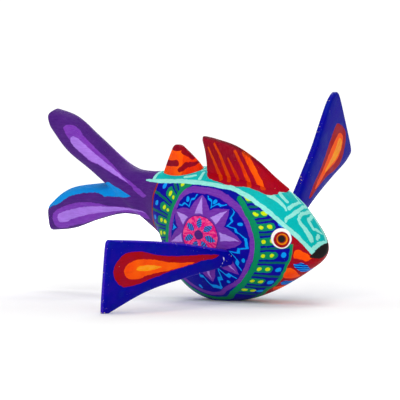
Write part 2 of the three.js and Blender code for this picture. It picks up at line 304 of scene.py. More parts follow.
def loft_points(centre, arm, half, square, angle):
    """Grid of points centre + up * arm + side * half over rings and angles."""
    up, side = section(angle[None, :], square[:, None])
    flat = centre[:, None, :] + up[..., None] * arm[:, None, :]
    return np.stack([flat[..., 0], side * half[:, None], flat[..., 1]], -1)


def trunk_grid(rings, count):
    """Trunk and upper lobe: p(u, a) = C(u) + up(a, n(u)) U(u) + side(a, n(u)) w(u) Y."""
    angle = np.linspace(0, 2 * np.pi, count, endpoint=False)
    return loft_points(*trunk_section(spaced(rings, 0.5)), angle)


def lobe_grid(rings, count):
    """Lower tail lobe: the trunk's formula between the lobe's own two lines."""
    u = spaced(rings, 0.5)
    top, bottom = side_curve(LOBE_TOP, u), side_curve(LOBE_BOTTOM, u)
    rounding = end_rounding(u, 0, 0.018)
    l = sizes()["lobe_half"]
    half = along([(0, 1.064 * l), (0.3, 1.404 * l), (0.7, 1.277 * l), (1, l)], u) * rounding
    centre = (top + bottom) / 2
    square = along([(0, 2), (0.4, 3), (1, 3.4)], u)
    angle = np.linspace(0, 2 * np.pi, count, endpoint=False)
    return loft_points(centre, (top - centre) * rounding[:, None], half, square, angle)


def trunk_level(points, margin):
    """Below 0 inside the trunk grown by margin: |q/(U+m)|^n + |y/(w+m)|^n - 1."""
    u_table = np.linspace(TRUNK_START, TRUNK_END, TABLE_SIZE)
    centre, arm, half, square = trunk_section(u_table)
    reach = np.linalg.norm(arm, axis=1)
    table = np.column_stack([centre, arm / reach[:, None], reach, half, square])

    def at(u):
        return np.stack([np.interp(u, u_table, column) for column in table.T], -1)

    x, side, z = points[..., 0], np.abs(points[..., 1]), points[..., 2]
    low, high = np.full(x.shape, TRUNK_START), np.full(x.shape, TRUNK_END)
    for _ in range(LEVEL_HALVINGS):
        u = (low + high) / 2
        t = at(u)
        behind = (x - t[..., 0]) * t[..., 3] - (z - t[..., 1]) * t[..., 2] < 0
        low, high = np.where(behind, u, low), np.where(behind, high, u)
    t = at((low + high) / 2)
    q = np.abs((x - t[..., 0]) * t[..., 2] + (z - t[..., 1]) * t[..., 3])
    n = t[..., 6]
    return (q / (t[..., 4] + margin)) ** n + (side / (t[..., 5] + margin)) ** n - 1


def meet_trunk(path, low, high, margin):
    """The smallest step along path, a function of step, that leaves the grown trunk."""
    for _ in range(PATH_HALVINGS):
        middle = (low + high) / 2
        inside = trunk_level(path(middle), margin) < 0
        low, high = np.where(inside, middle, low), np.where(inside, high, middle)
    return (low + high) / 2


def new_mesh(name, points, quads, triangles, materials):
    """A mesh object in the row's frame from points in the fish's frame and arrays of corners."""
    mesh = bpy.data.meshes.new(name)
    corners = np.concatenate([quads.ravel(), triangles.ravel()])
    starts = [np.arange(len(quads)) * 4, quads.size + np.arange(len(triangles)) * 3]
    starts = np.concatenate(starts)
    mesh.vertices.add(len(points))
    mesh.vertices.foreach_set("co", to_row(points).ravel())
    mesh.loops.add(len(corners))
    mesh.loops.foreach_set("vertex_index", corners)
    mesh.polygons.add(len(starts))
    mesh.polygons.foreach_set("loop_start", starts)
    mesh.update(calc_edges=True)
    mesh.validate()
    piece = bpy.data.objects.new(name, mesh)
    bpy.context.scene.collection.objects.link(piece)
    for material in materials:
        mesh.materials.append(material)
    return piece


def grid_faces(rings, count):
    """Quads over a closed-ring grid, and triangles from its end rings to two poles after it."""
    r, i = np.meshgrid(np.arange(rings - 1), np.arange(count), indexing="ij")
    a, b = r * count + i, r * count + (i + 1) % count
    quads = np.stack([a, b, b + count, a + count], -1).reshape(-1, 4)
    edge = np.arange(count)
    after = (edge + 1) % count
    tail, first = (rings - 1) * count, rings * count
    start_cap = np.stack([np.full(count, first), after, edge], -1)
    end_cap = np.stack([np.full(count, first + 1), tail + edge, tail + after], -1)
    return quads, np.vstack([start_cap, end_cap])


def inside_out(points, quads, triangles):
    """Whether the faces enclose a negative volume: the sum of a . (b x c) over their triangles."""
    a, b, c = points[np.vstack([quads[:, :3], quads[:, [0, 2, 3]], triangles])].transpose(1, 0, 2)
    return (a * np.cross(b, c)).sum() < 0


def solid(name, grids, materials):
    """One object from grids of rings, each closed by a pole in the middle of either end ring."""
    points, quads, triangles, start = [], [], [], 0
    for grid in grids:
        p = np.vstack([grid.reshape(-1, 3), grid[0].mean(0), grid[-1].mean(0)])
        q, t = grid_faces(*grid.shape[:2])
        if inside_out(p, q, t):
            q, t = q[:, ::-1], t[:, ::-1]
        points.append(p)
        quads.append(q + start)
        triangles.append(t + start)
        start += len(p)
    return new_mesh(name, np.vstack(points), np.vstack(quads), np.vstack(triangles), materials)


def coordinates(mesh):
    """The mesh's vertices as an array, row frame, metres."""
    v = np.empty(len(mesh.vertices) * 3)
    mesh.vertices.foreach_get("co", v)
    return v.reshape(-1, 3)


def soften(mesh, centre, reach, rounds):
    """Smooths a joint between limbs.

    v += w (mean of its neighbours - v) / 2, w = exp(-(|v - centre| / reach)^2).
    """
    ends = np.empty(len(mesh.edges) * 2, np.int32)
    mesh.edges.foreach_get("vertices", ends)
    a, b = ends[::2], ends[1::2]
    v = to_fish(coordinates(mesh))
    weight = 0.5 * np.exp(-((v - centre) ** 2).sum(1) / reach**2)[:, None]
    size = len(v)
    near = (np.bincount(a, minlength=size) + np.bincount(b, minlength=size))[:, None]
    for _ in range(rounds):
        total = [
            np.bincount(a, v[b, i], size) + np.bincount(b, v[a, i], size) for i in range(3)
        ]
        v += weight * (np.stack(total, -1) / near - v)
    mesh.vertices.foreach_set("co", to_row(v).ravel())
    mesh.update()


def sand_flat(mesh):
    """What would go below the table is flat on it."""
    v = coordinates(mesh)
    v[:, 2] = np.maximum(v[:, 2], 0)
    mesh.vertices.foreach_set("co", v.ravel())
    mesh.update()


def freeze(piece, sharp=None):
    """Makes the modifiers' result the piece's own mesh and shades it smooth."""
    graph = bpy.context.evaluated_depsgraph_get()
    mesh = bpy.data.meshes.new_from_object(piece.evaluated_get(graph))
    mesh.name = piece.name
    piece.modifiers.clear()
    piece.data = mesh
    shade(mesh, sharp)
    return mesh


def shade(mesh, sharp):
    """Smooth shading, with edges over the given angle kept sharp."""
    mesh.polygons.foreach_set("use_smooth", np.ones(len(mesh.polygons), bool))
    if sharp:
        mesh.set_sharp_from_angle(angle=math.radians(sharp))


def fin_axes(fin):
    """Out, up and ahead of a pectoral fin in the fish's frame, mirrored for the right one."""
    sweep, rise, twist = (math.radians(v) for v in (fin["sweep"], fin["rise"], FIN_TWIST))
    flat = math.cos(rise)
    out = np.array([-math.sin(sweep) * flat, math.cos(sweep) * flat, math.sin(rise)])
    forward = np.array([1.0, 0, 0]) - out[0] * out
    forward /= np.linalg.norm(forward)
    up = np.cross(forward, out)
    up /= np.linalg.norm(up)
    ahead = forward * math.cos(twist) - up * math.sin(twist)
    rise_axis = up * math.cos(twist) + forward * math.sin(twist)
    mirror = np.array([1, fin["side"], 1])
    return out * mirror, rise_axis * mirror, ahead * mirror


def fin_root(fin):
    """The middle of a pectoral fin's root in the fish's frame."""
    s = sizes()
    a, b, c = fin["root"]
    side = fin["side"] * b * s["half_width"]
    return np.array([-a * s["fish_length"], side, c * s["back_height"]])


def blade_section(fin, s, angle):
    """(up, ahead) of a blade's outline s millimetres out from its root."""
    u = np.clip((s - BLADE_START) / (fin["length"] - BLADE_START), 0, 1)
    r = fin["root_half"]
    top = along([(0, 0.85 * r), (0.1, r), *fin["top"]], u)
    bottom = -along([(0, 0.85 * r), (0.1, r), *fin["bottom"]], u)
    half = along([(0, 3), (0.25, 2.5), (0.6, 2), (1, 1.5)], u)
    rounding = end_rounding(u, 0, 0.025)
    a, b = section(angle, 2.2 + 3.3 * u)
    height = (top - bottom) / 2 * (1 - (1 - rounding) * 0.12)
    return (top + bottom) / 2 + a * height, b * half * (0.45 + 0.55 * rounding)


def tenon_section(angle, margin=0.0):
    """(up, ahead) of the tenon's outline."""
    a, b = section(angle, TENON_SQUARENESS)
    return a * (TENON_HALF_HEIGHT + margin), b * (TENON_HALF_THICKNESS + margin)


def fin_grid(fin, count=144, blade_rings=150):
    """A pectoral fin from its tenon's end to its broad end, and its number of unpainted rings.

    p(s, a) = root + out s + up f(s, a) + ahead g(s, a). The blade's lines
    start where they leave the trunk grown by the seat gap, so its foot
    follows the flank; the seat runs in along the flank to the tenon.
    """
    out, up, ahead = fin_axes(fin)
    root = fin_root(fin)
    angle = np.linspace(0, 2 * np.pi, count, endpoint=False)

    def place(s, a, b):
        return root + s[..., None] * out + a[..., None] * up + b[..., None] * ahead

    low, high = np.full(count, BLADE_START), np.full(count, OUTSIDE_TRUNK)
    foot = meet_trunk(lambda s: place(s, *blade_section(fin, s, angle)), low, high, SEAT_GAP)
    v = np.linspace(0, 1, blade_rings)
    closer = 0.965 + 0.035 * np.sin((v - 0.85) / 0.15 * np.pi / 2)
    v = np.where(v < 0.85, v / 0.85 * 0.965, closer)
    s = foot + (fin["length"] - foot) * v[:, None]
    blade = place(s, *blade_section(fin, s, angle[None, :]))
    end_a, end_b = blade_section(fin, s[-1], angle)
    centre_a, centre_b = end_a.mean(), end_b.mean()
    shrink = np.array([0.97, 0.85, 0.6, 0.3, 0.1])[:, None]
    bulge = 0.25 * np.sqrt(1 - shrink**2)
    cap_a = centre_a + (end_a - centre_a) * shrink
    cap_b = centre_b + (end_b - centre_b) * shrink
    cap = place(s[-1] + bulge, cap_a, cap_b)
    foot_a, foot_b = blade_section(fin, foot, angle)
    tenon_a, tenon_b = tenon_section(angle)
    w = np.linspace(1, 0, 12, endpoint=False)[:, None]
    a, b = foot_a + (tenon_a - foot_a) * w, foot_b + (tenon_b - foot_b) * w
    low, high = np.full(a.shape, INSIDE_TRUNK), np.full(a.shape, OUTSIDE_TRUNK)
    depth = meet_trunk(lambda t: place(t, a, b), low, high, SEAT_GAP)
    seat = place(depth, a, b)
    inner = depth[0]
    t = np.linspace(0, 1, 14)[:, None]
    chamfer = 1 - 0.16 * np.clip((0.06 - t) / 0.06, 0, 1)
    tenon_s = -TENON_LENGTH + (inner - 0.05 + TENON_LENGTH) * t
    tenon = place(tenon_s, tenon_a * chamfer, tenon_b * chamfer)
    shrink = np.array([0.1, 0.5, 0.82])[:, None]
    tip = place(np.full((3, count), -TENON_LENGTH), tenon_a * shrink, tenon_b * shrink)
    return np.vstack([tip, tenon, seat, blade, cap]), len(tip) + len(tenon) + len(seat)


def socket_grid(fin, count=96):
    """The pocket cut for a tenon: the tenon's outline grown by the fit gap."""
    out, up, ahead = fin_axes(fin)
    a, b = tenon_section(np.linspace(0, 2 * np.pi, count, endpoint=False), FIT_GAP)
    s = np.linspace(-TENON_LENGTH - FIT_GAP, SOCKET_MOUTH, 24)[:, None]
    return fin_root(fin) + s[..., None] * out + a[..., None] * up + b[..., None] * ahead


def dorsal_grid(fin, count=128, ring_count=110):
    """A dorsal fin: rings between its rear and front edges, from its foot to its tip.

    p(u, a) = (R(u) + F(u))/2 + (up(a) + skew |side(a)|) (F - R)/2
    + (side(a) w(u) + bow d^2) Y, d being the distance ahead of the rear foot.
    Each line starts where it leaves the trunk, so the foot follows the back.
    """
    angle = np.linspace(0, 2 * np.pi, count, endpoint=False)
    tip_height = sizes()["back_height"] + fin["over_back"]

    def place(u, scale=1.0):
        r, f = (side_curve(fin[edge], u, tip_height) for edge in ("rear", "front"))
        rounding = end_rounding(u, 0, 0.08)
        a, b = section(angle, along(fin["squareness"], u))
        a = a + fin["skew"] * np.abs(b) ** 1.5
        centre = (r + f) / 2
        flat = centre + (f - centre) * (a * scale * (0.35 + 0.65 * rounding))[..., None]
        ahead = np.maximum(flat[..., 0] + BOW_START, 0)
        side = b * scale * along(fin["half"], u) * rounding + fin["bow"] * ahead**2
        return np.stack([flat[..., 0], side, flat[..., 1]], -1)

    foot = meet_trunk(place, np.zeros(count), np.full(count, 0.9), -DORSAL_SINK)
    v = spaced(ring_count, 0.6)
    rings = place(foot + (1 - foot) * v[:, None])
    under = place(np.maximum(foot - 0.03, 0), 0.7)[None]
    return np.vstack([under, rings])


def paint_sockets(mesh):
    """Bare wood, the second slot, for the faces inside the two sockets."""
    middle = np.empty(len(mesh.polygons) * 3)
    mesh.polygons.foreach_get("center", middle)
    middle = to_fish(middle.reshape(-1, 3))
    bare = np.zeros(len(mesh.polygons), int)
    for fin in FINS.values():
        out, up, ahead = fin_axes(fin)
        from_root = middle - fin_root(fin)
        s, a, b = from_root @ out, from_root @ up, from_root @ ahead
        inside = (np.abs(a) < TENON_HALF_HEIGHT + 0.5) & (np.abs(b) < TENON_HALF_THICKNESS + 0.5)
        depth = trunk_level(middle, -0.3)
        bare |= inside & (s > -TENON_LENGTH - 1) & (s < SOCKET_MOUTH) & (depth < 0)
    mesh.polygons.foreach_set("material_index", bare)


def linear(rgb):
    """Linear RGBA of a colour given as 0..255 display values."""
    c = np.array(rgb, float) / 255
    c = np.where(c > 0.04045, ((c + 0.055) / 1.055) ** 2.4, c / 12.92)
    return (*c.tolist(), 1.0)


def paint_property(label, use, rgb):
    """A paint colour that the panel shows."""
    return bpy.props.FloatVectorProperty(
        name=label, description=use, subtype="COLOR", size=4, min=0, max=1, default=linear(rgb)
    )


class FishColours(bpy.types.PropertyGroup):
    """Acrylic paints of the fish."""

    deep_blue: paint_property("Deep blue", "Ground of the flanks and fins", (8, 8, 150))
    # This violet is painted bounce light: the lighter look of the pectoral fins' rounded rims and
    # ends where light from the table falls on them.
    bounce_violet: paint_property("Violet", "Rims of the pectoral fins", (60, 45, 175))
    purple: paint_property("Purple", "Medallion ring and sun rays", (115, 60, 165))
    lavender: paint_property("Lavender", "Light wedges on the medallion", (178, 142, 226))
    sky: paint_property("Sky blue", "Zigzags and dots", (0, 150, 240))
    pink: paint_property("Pink", "Middle of the medallion", (226, 44, 130))
    rose: paint_property("Rose", "Light strokes on the pink", (250, 100, 150))
    green: paint_property("Green", "Bands and tongues", (0, 135, 88))
    dark_green: paint_property("Dark green", "Thin lines between the tongues", (0, 100, 88))
    lime: paint_property("Lime", "Dots on the tongues", (205, 230, 50))
    teal: paint_property("Teal", "Saddle over the back and head", (0, 180, 178))
    mint: paint_property("Mint", "Lines and frets on the teal", (150, 228, 216))
    crimson: paint_property("Crimson", "Front dorsal fin and flames", (165, 0, 28))
    brick: paint_property("Brick", "Cheeks and ring of the eye", (152, 34, 42))
    orange: paint_property("Orange", "Rear dorsal fin and flames", (255, 84, 0))
    amber: paint_property("Amber", "Hearts of the flames", (255, 160, 60))
    iris: paint_property("Iris", "Ring round the pupil", (226, 126, 30))
    black: paint_property("Black", "Nose and pupil", (30, 26, 26))
    white: paint_property("White", "Ring of the eye", (246, 244, 240))
    tail: paint_property("Tail purple", "Ground of the tail", (78, 40, 122))
    tail_stroke: paint_property("Tail stroke", "Middle strokes of the tail", (125, 66, 176))
    tail_light: paint_property("Tail light", "Light strokes of the tail", (170, 124, 224))
    bright_blue: paint_property("Bright blue", "Band on the lower lobe", (0, 140, 222))
    rust: paint_property("Rust", "Line before the tail", (150, 50, 40))
    wood: paint_property("Wood", "Bare copal wood", (216, 185, 140))


def colour(name):
    """A paint by name, as linear RGBA."""
    return tuple(getattr(bpy.context.scene.fish_colours, name))


def add(tree, kind, values=(), **settings):
    """A new node with its settings made and its inputs fed by position or name."""
    node = tree.nodes.new(kind)
    for name, value in settings.items():
        setattr(node, name, value)
    for key, value in values.items() if isinstance(values, dict) else enumerate(values):
        if isinstance(value, Signal):
            tree.links.new(value.socket, node.inputs[key])
        elif value is not None:
            node.inputs[key].default_value = value
    count = len(tree.nodes)
    node.location = (count % 40 * 190, -(count // 40) * 260)
    return node


class Signal:
    """A value flowing through a node tree. Arithmetic on it adds Math nodes."""

    def __init__(self, tree, socket):
        self.tree, self.socket = tree, socket

    def math(self, operation, *values, clamp=False):
        node = add(self.tree, "ShaderNodeMath", values, operation=operation, use_clamp=clamp)
        return Signal(self.tree, node.outputs[0])

    def __add__(self, other):
        return self.math("ADD", self, other)

    def __sub__(self, other):
        return self.math("SUBTRACT", self, other)

    def __rsub__(self, other):
        return self.math("SUBTRACT", other, self)

    def __mul__(self, other):
        return self.math("MULTIPLY", self, other)

    def __truediv__(self, other):
        return self.math("DIVIDE", self, other)

    def __abs__(self):
        return self.math("ABSOLUTE", self)

    def __neg__(self):
        return self.math("MULTIPLY", self, -1.0)

    __radd__, __rmul__ = __add__, __mul__

    def wrapped(self):
        """Distance past the nearest whole number, -0.5 to 0.5."""
        return self - self.math("ROUND", self)

    def zigzag(self):
        """0 at whole numbers, 1 halfway between them."""
        return abs(self.wrapped()) * 2.0


def least(first, *others):
    """The smallest of some values."""
    for other in others:
        first = first.math("MINIMUM", first, other)
    return first


def most(first, *others):
    """The largest of some values."""
    for other in others:
        first = first.math("MAXIMUM", first, other)
    return first


def pair(a, b, c=0.0):
    """A vector from numbers."""
    return Signal(a.tree, add(a.tree, "ShaderNodeCombineXYZ", (a, b, c)).outputs[0])


def vector(operation, a, b=None, out="Vector"):
    """A vector operation on a and b."""
    node = add(a.tree, "ShaderNodeVectorMath", (a, b), operation=operation)
    return Signal(a.tree, node.outputs[out])


def scaled(v, factor):
    """A vector times a number."""
    node = add(v.tree, "ShaderNodeVectorMath", {0: v, "Scale": factor}, operation="SCALE")
    return Signal(v.tree, node.outputs[0])


def length(a, b):
    """sqrt(a^2 + b^2)."""
    return vector("LENGTH", pair(a, b), out="Value")


def parts(v):
    """x, y and z of a vector."""
    node = add(v.tree, "ShaderNodeSeparateXYZ", (v,))
    return [Signal(v.tree, socket) for socket in node.outputs]


def curve(signal, points):
    """A smooth curve through (position, value) points."""
    xs, ys = np.array(points, float).T
    low, span = ys.min(), max(np.ptp(ys), 1e-6)
    node = add(signal.tree, "ShaderNodeFloatCurve")
    ends = float(xs[0]), float(xs[-1])
    share = add(signal.tree, "ShaderNodeMapRange", (signal, *ends, 0.0, 1.0))
    signal.tree.links.new(share.outputs[0], node.inputs["Value"])
    line = node.mapping.curves[0]
    places = list(zip((xs - xs[0]) / (xs[-1] - xs[0]), (ys - low) / span))
    for place in places[1:-1]:
        line.points.new(*map(float, place))
    for end in (0, -1):
        line.points[end].location = places[end]
    for point in line.points:
        point.handle_type = "AUTO_CLAMPED"
    node.mapping.update()
    return Signal(signal.tree, node.outputs[0]) * float(span) + float(low)


def step(signal, low, high):
    """0 below low, 1 above high."""
    node = add(
        signal.tree, "ShaderNodeMapRange", (signal, low, high, 0.0, 1.0),
        interpolation_type="SMOOTHSTEP",
    )
    return Signal(signal.tree, node.outputs[0])


def noise(point, scale, detail=2.0, roughness=0.5, out="Fac"):
    """Noise whose features are about 1/scale of the point's unit across."""
    node = add(
        point.tree, "ShaderNodeTexNoise",
        {"Vector": point, "Scale": scale, "Detail": detail, "Roughness": roughness},
    )
    return Signal(point.tree, node.outputs[out])


def mix(factor, a, b):
    """Colour a, turning to b as factor goes from 0 to 1."""
    tree = factor.tree
    node = add(tree, "ShaderNodeMix", {0: factor, 6: a, 7: b}, data_type="RGBA")
    return Signal(tree, node.outputs[2])


# Sockets that several groups share.
POINT = ("Point", "Vector", (0, 0, 0))
SURFACE = [("Colour", "Color"), ("Roughness", "Float"), ("Height", "Float")]


def new_group(name, inputs, outputs):
    """An empty group with named sockets: its inputs by name and what fills an output."""
    tree = bpy.data.node_groups.new(name, "ShaderNodeTree")
    for label, kind, value in inputs:
        socket = tree.interface.new_socket(label, in_out="INPUT", socket_type=f"NodeSocket{kind}")
        socket.default_value = value
    for label, kind in outputs:
        tree.interface.new_socket(label, in_out="OUTPUT", socket_type=f"NodeSocket{kind}")
    entry, leave = tree.nodes.new("NodeGroupInput"), tree.nodes.new("NodeGroupOutput")
    taken = {socket.name: Signal(tree, socket) for socket in entry.outputs if socket.name}

    def give(label, signal):
        tree.links.new(signal.socket, leave.inputs[label])

    return taken, give


def build_groups():
    """The shared paint and wood effects, each built once."""
    g, give = new_group(
        "tapered_stroke",
        [POINT, ("Start", "Vector", (0, 0, 0)), ("Along", "Vector", (1, 0, 0)),
         ("Length", "Float", 1), ("Half Width", "Float", 1), ("Taper", "Float", 0)],
        [("Distance", "Float")],
    )
    from_start = vector("SUBTRACT", g["Point"], g["Start"])
    run = vector("DOT_PRODUCT", from_start, g["Along"], out="Value")
    run = least(most(run, 0.0), g["Length"])
    gap = vector("DISTANCE", from_start, scaled(g["Along"], run), out="Value")
    give("Distance", gap - (g["Half Width"] + run * g["Taper"]))

    g, give = new_group(
        "paint_coat",
        [("Under", "Color", (0, 0, 0, 1)), ("Paint", "Color", (1, 1, 1, 1)),
         ("Distance", "Float", 0)],
        [("Colour", "Color")],
    )
    give("Colour", mix(1.0 - step(g["Distance"], -PAINT_EDGE, PAINT_EDGE), g["Under"], g["Paint"]))

    g, give = new_group(
        "hand_wobble",
        [POINT, ("Amount", "Float", 0.5)],
        [("Point", "Vector")],
    )
    shift = vector("SUBTRACT", noise(g["Point"], 0.42, 2.0, 0.6, "Color"), (0.5, 0.5, 0.5))
    give("Point", vector("ADD", g["Point"], scaled(shift, g["Amount"])))

    g, give = new_group(
        "brushed_acrylic",
        [POINT, ("Colour", "Color", (1, 1, 1, 1)), ("Relief", "Float", 0),
         ("Stroke Scale", "Vector", (0.22, 1.6, 1.6)), ("Streaks", "Float", 1)],
        SURFACE,
    )
    streak = noise(vector("MULTIPLY", g["Point"], g["Stroke Scale"]), 1.0, 3.0, 0.62)
    mottle = noise(g["Point"], 0.16, 2.0, 0.5)
    grain = noise(g["Point"], 3.4, 1.0, 0.5)
    change = (streak - 0.5) * 0.42 + (mottle - 0.5) * 0.22 + (grain - 0.5) * 0.18
    value = 1.0 + change * g["Streaks"]
    toned = add(value.tree, "ShaderNodeHueSaturation", {
        "Hue": 0.5 + (mottle - 0.5) * 0.02, "Saturation": 1.04 - (streak - 0.5) * 0.16,
        "Value": value, "Color": g["Colour"],
    })
    give("Colour", Signal(value.tree, toned.outputs[0]))
    give("Roughness", 0.5 + (mottle - 0.5) * 0.3 + (streak - 0.5) * 0.22)
    give("Height", g["Relief"] + (streak - 0.5) * 0.07 + (grain - 0.5) * 0.03)

    g, give = new_group(
        "worn_edge",
        [POINT, ("Edge", "Float", 0), ("Amount", "Float", 0.5)],
        [("Wear", "Float")],
    )
    bits = noise(g["Point"], 1.1, 4.0, 0.65)
    knocks = step(noise(g["Point"], 0.17, 2.0, 0.6), 0.45, 0.7)
    reach = g["Edge"] * g["Amount"] * (0.12 + knocks * 0.4)
    give("Wear", step(bits + reach, 0.71, 0.75))

    g, give = new_group(
        "copal_wood",
        [POINT, ("Colour", "Color", (0.7, 0.5, 0.3, 1))],
        SURFACE,
    )
    fibre = noise(vector("MULTIPLY", g["Point"], (0.15, 2.2, 2.2)), 1.0, 3.0, 0.6)
    rings = noise(vector("MULTIPLY", g["Point"], (0.03, 0.35, 0.35)), 1.0, 1.0, 0.4)
    bands = (rings * 9.0).zigzag()
    tone = 0.78 + fibre * 0.3 + bands * 0.12
    toned = add(tone.tree, "ShaderNodeHueSaturation", {"Value": tone, "Color": g["Colour"]})
    give("Colour", Signal(tone.tree, toned.outputs[0]))
    give("Roughness", 0.62 + fibre * 0.2)
    give("Height", fibre * 0.08 + bands * 0.02)


def use(name, inputs, out=0):
    """Places a shared group and returns one of its outputs, or all with out None."""
    tree = next(value.tree for value in inputs.values() if isinstance(value, Signal))
    node = add(tree, "ShaderNodeGroup", {}, node_tree=bpy.data.node_groups[name])
    for label, value in inputs.items():
        if isinstance(value, Signal):
            tree.links.new(value.socket, node.inputs[label])
        else:
            node.inputs[label].default_value = value
    signals = [Signal(tree, socket) for socket in node.outputs]
    return signals if out is None else signals[out]


def coat(under, paint, distance):
    """Paint laid over what is under it wherever distance is below 0."""
    paint = colour(paint) if isinstance(paint, str) else paint
    return use("paint_coat", {"Under": under, "Paint": paint, "Distance": distance})


def strokes(point, lines):
    """Distance to the nearest of some brush lines [(half width, [(a, b), ...]), ...].

    A half width may be (start, end).
    """
    nearest = None
    for width, places in lines:
        places = np.array(places, float)
        runs = np.linalg.norm(np.diff(places, axis=0), axis=1)
        w0, w1 = width if isinstance(width, tuple) else (width, width)
        share = np.concatenate([[0], np.cumsum(runs)]) / runs.sum()
        for i, run in enumerate(runs):
            a, b = w0 + (w1 - w0) * share[i], w0 + (w1 - w0) * share[i + 1]
            along_run = (places[i + 1] - places[i]) / run
            gap = use("tapered_stroke", {
                "Point": point, "Start": (*places[i].tolist(), 0),
                "Along": (*along_run.tolist(), 0), "Length": float(run), "Half Width": float(a),
                "Taper": float((b - a) / run),
            })
            nearest = gap if nearest is None else least(nearest, gap)
    return nearest


def between(a, b, lower, upper):
    """Distance to the patch where b lies between two curves of a that cross at its ends."""
    lower, upper = ([list(place) for place in line] for line in (lower, upper))
    for end in (0, -1):
        lower[end][1] += END_CROSSING
        upper[end][1] -= END_CROSSING
    return most(curve(a, lower) - b, b - curve(a, upper)) * CURVE_SLOPE


def lay(under, a, b, patches, limit=None):
    """Paints laid in turn over patches [(paint, lower curve of a, upper curve), ...]."""
    for paint, lower, upper in patches:
        patch = between(a, b, lower, upper)
        under = coat(under, paint, patch if limit is None else most(patch, limit))
    return under


def object_point(tree, axes, origin):
    """Object coordinates in millimetres along axes (columns) from an origin (metres)."""
    place = Signal(tree, add(tree, "ShaderNodeTexCoord").outputs["Object"])
    turn = tuple(Matrix(axes.tolist()).to_euler())
    node = add(
        tree, "ShaderNodeMapping",
        {"Vector": place, "Location": tuple(origin), "Rotation": turn, "Scale": (MM, MM, MM)},
        vector_type="TEXTURE",
    )
    return Signal(tree, node.outputs[0])


def new_material(name):
    """A material and its node tree, with the shader in place."""
    material = bpy.data.materials.new(name)
    material.use_nodes = True
    return material, material.node_tree


def to_shader(tree, tint, rough, height):
    """Feeds the shader its colour, roughness and bump, and returns it."""
    shader = tree.nodes["Principled BSDF"]
    tree.links.new(tint.socket, shader.inputs["Base Color"])
    tree.links.new(rough.socket, shader.inputs["Roughness"])
    bump = add(tree, "ShaderNodeBump", {"Height": height, "Distance": MM})
    tree.links.new(bump.outputs[0], shader.inputs["Normal"])
    return shader


def finish_paint(tree, point, tint, wear, relief=0.0, stroke=(0.22, 1.6, 1.6), streaks=1.0):
    """Brushes the colour onto the shader, with the wood showing where the paint has worn."""
    tint, rough, height = use("brushed_acrylic", {
        "Point": point, "Colour": tint, "Relief": relief, "Stroke Scale": stroke,
        "Streaks": streaks,
    }, None)
    tint = mix(wear, tint, colour("wood"))
    shader = to_shader(tree, tint, rough + wear * 0.25, height - wear * 0.12)
    shader.inputs["IOR"].default_value = 1.42
    shader.inputs["Specular IOR Level"].default_value = 0.07


def fish_point(tree):
    """Object coordinates in the fish's own frame."""
    return object_point(tree, roll_matrix(), row_offset() * MM)


def wood_material():
    """Bare copal wood, inside the sockets and on the pegs."""
    material, tree = new_material("copal")
    bare = {"Point": fish_point(tree), "Colour": colour("wood")}
    to_shader(tree, *use("copal_wood", bare, None))
    return material


# Colours used once or twice, as display values.
EMBER = (206, 60, 14)
OLD_CRIMSON = (140, 28, 44)
DARK_RIM = (84, 22, 32)
RED_ORANGE = (236, 54, 8)
OLD_BAND = (110, 20, 34)
# Pale lilac-white of the arc at a fin's root: both a painted glint of light there and chipped
# paint.
GLINT_AND_CHIP = (214, 206, 232)

# Degrees in a radian, the medallion's middle (x, z), its radius and the square
# of that, and the angles between its eight rays and its seven petals.
DEGREES = 57.2958
MEDALLION = (-42.2, 10.5)
MEDALLION_RADIUS = 23.3
MEDALLION_SPAN = 543.0
RAY_ANGLE = 45.0
PETAL_ANGLE = 51.43

# Rows of tongues ahead of the medallion, as (level, number of the row).
ROWS = [
    (-21, 7), (-14.9, 6), (-8, 5), (-0.2, 4), (6.1, 3), (12.2, 2), (18, 1), (22.8, 0), (28, -1),
]

# Heights of a row ahead of the medallion and behind it, and half the width of
# the green line behind it.
FRONT_ROW = 5.6
REAR_ROW = 5.9
REAR_LINE = 0.95

# The eye's rings from the outside in: (paint, (x, z) of the middle, radius).
EYE_RINGS = [
    ("white", (-8.1, 12.3), 4.2), ("brick", (-8.0, 11.8), 3.3), ("iris", (-7.8, 11.9), 2.3),
    ("rust", (-7.95, 12.05), 1.8), ("black", (-8.0, 12.1), 1.4),
]

# Painted outlines in millimetres in the fish's frame. First the x at which the
# ridge's arc length is worked out, then the saddle's lower edge as (x, side)
# and as (x, height).
RIDGE_PLACES = (
    -80, -60, -40, -30, -22, -18, -15, -12, -10, -8, -6, -4, -3, -2, -1, 0, 1, 2, 2.5,
)
SADDLE_SIDE = [
    (-80, 4.0), (-69, 6.2), (-58.6, 7.6), (-49.4, 8.6), (-40.4, 9.0), (-35, 8.9), (-30, 8.3),
    (-25.7, 8.7), (-21, 8.9), (-18, 9.2), (-14, 9.3), (-8.7, 9.0), (-4, 7.6), (-0.6, 6.6),
    (0.9, 5.8), (3, 5.0),
]
SADDLE_HEIGHT = [
    (-80, 33.2), (-69, 33.8), (-58.6, 34.6), (-49.4, 34.8), (-40.4, 34.2), (-35, 33.4),
    (-30, 32.2), (-25.7, 30.5), (-21, 28.2), (-18, 26), (-14, 23.2), (-8.7, 18), (-4, 12.3),
    (-0.6, 7.3), (0.9, 4.5), (3, 2.6),
]

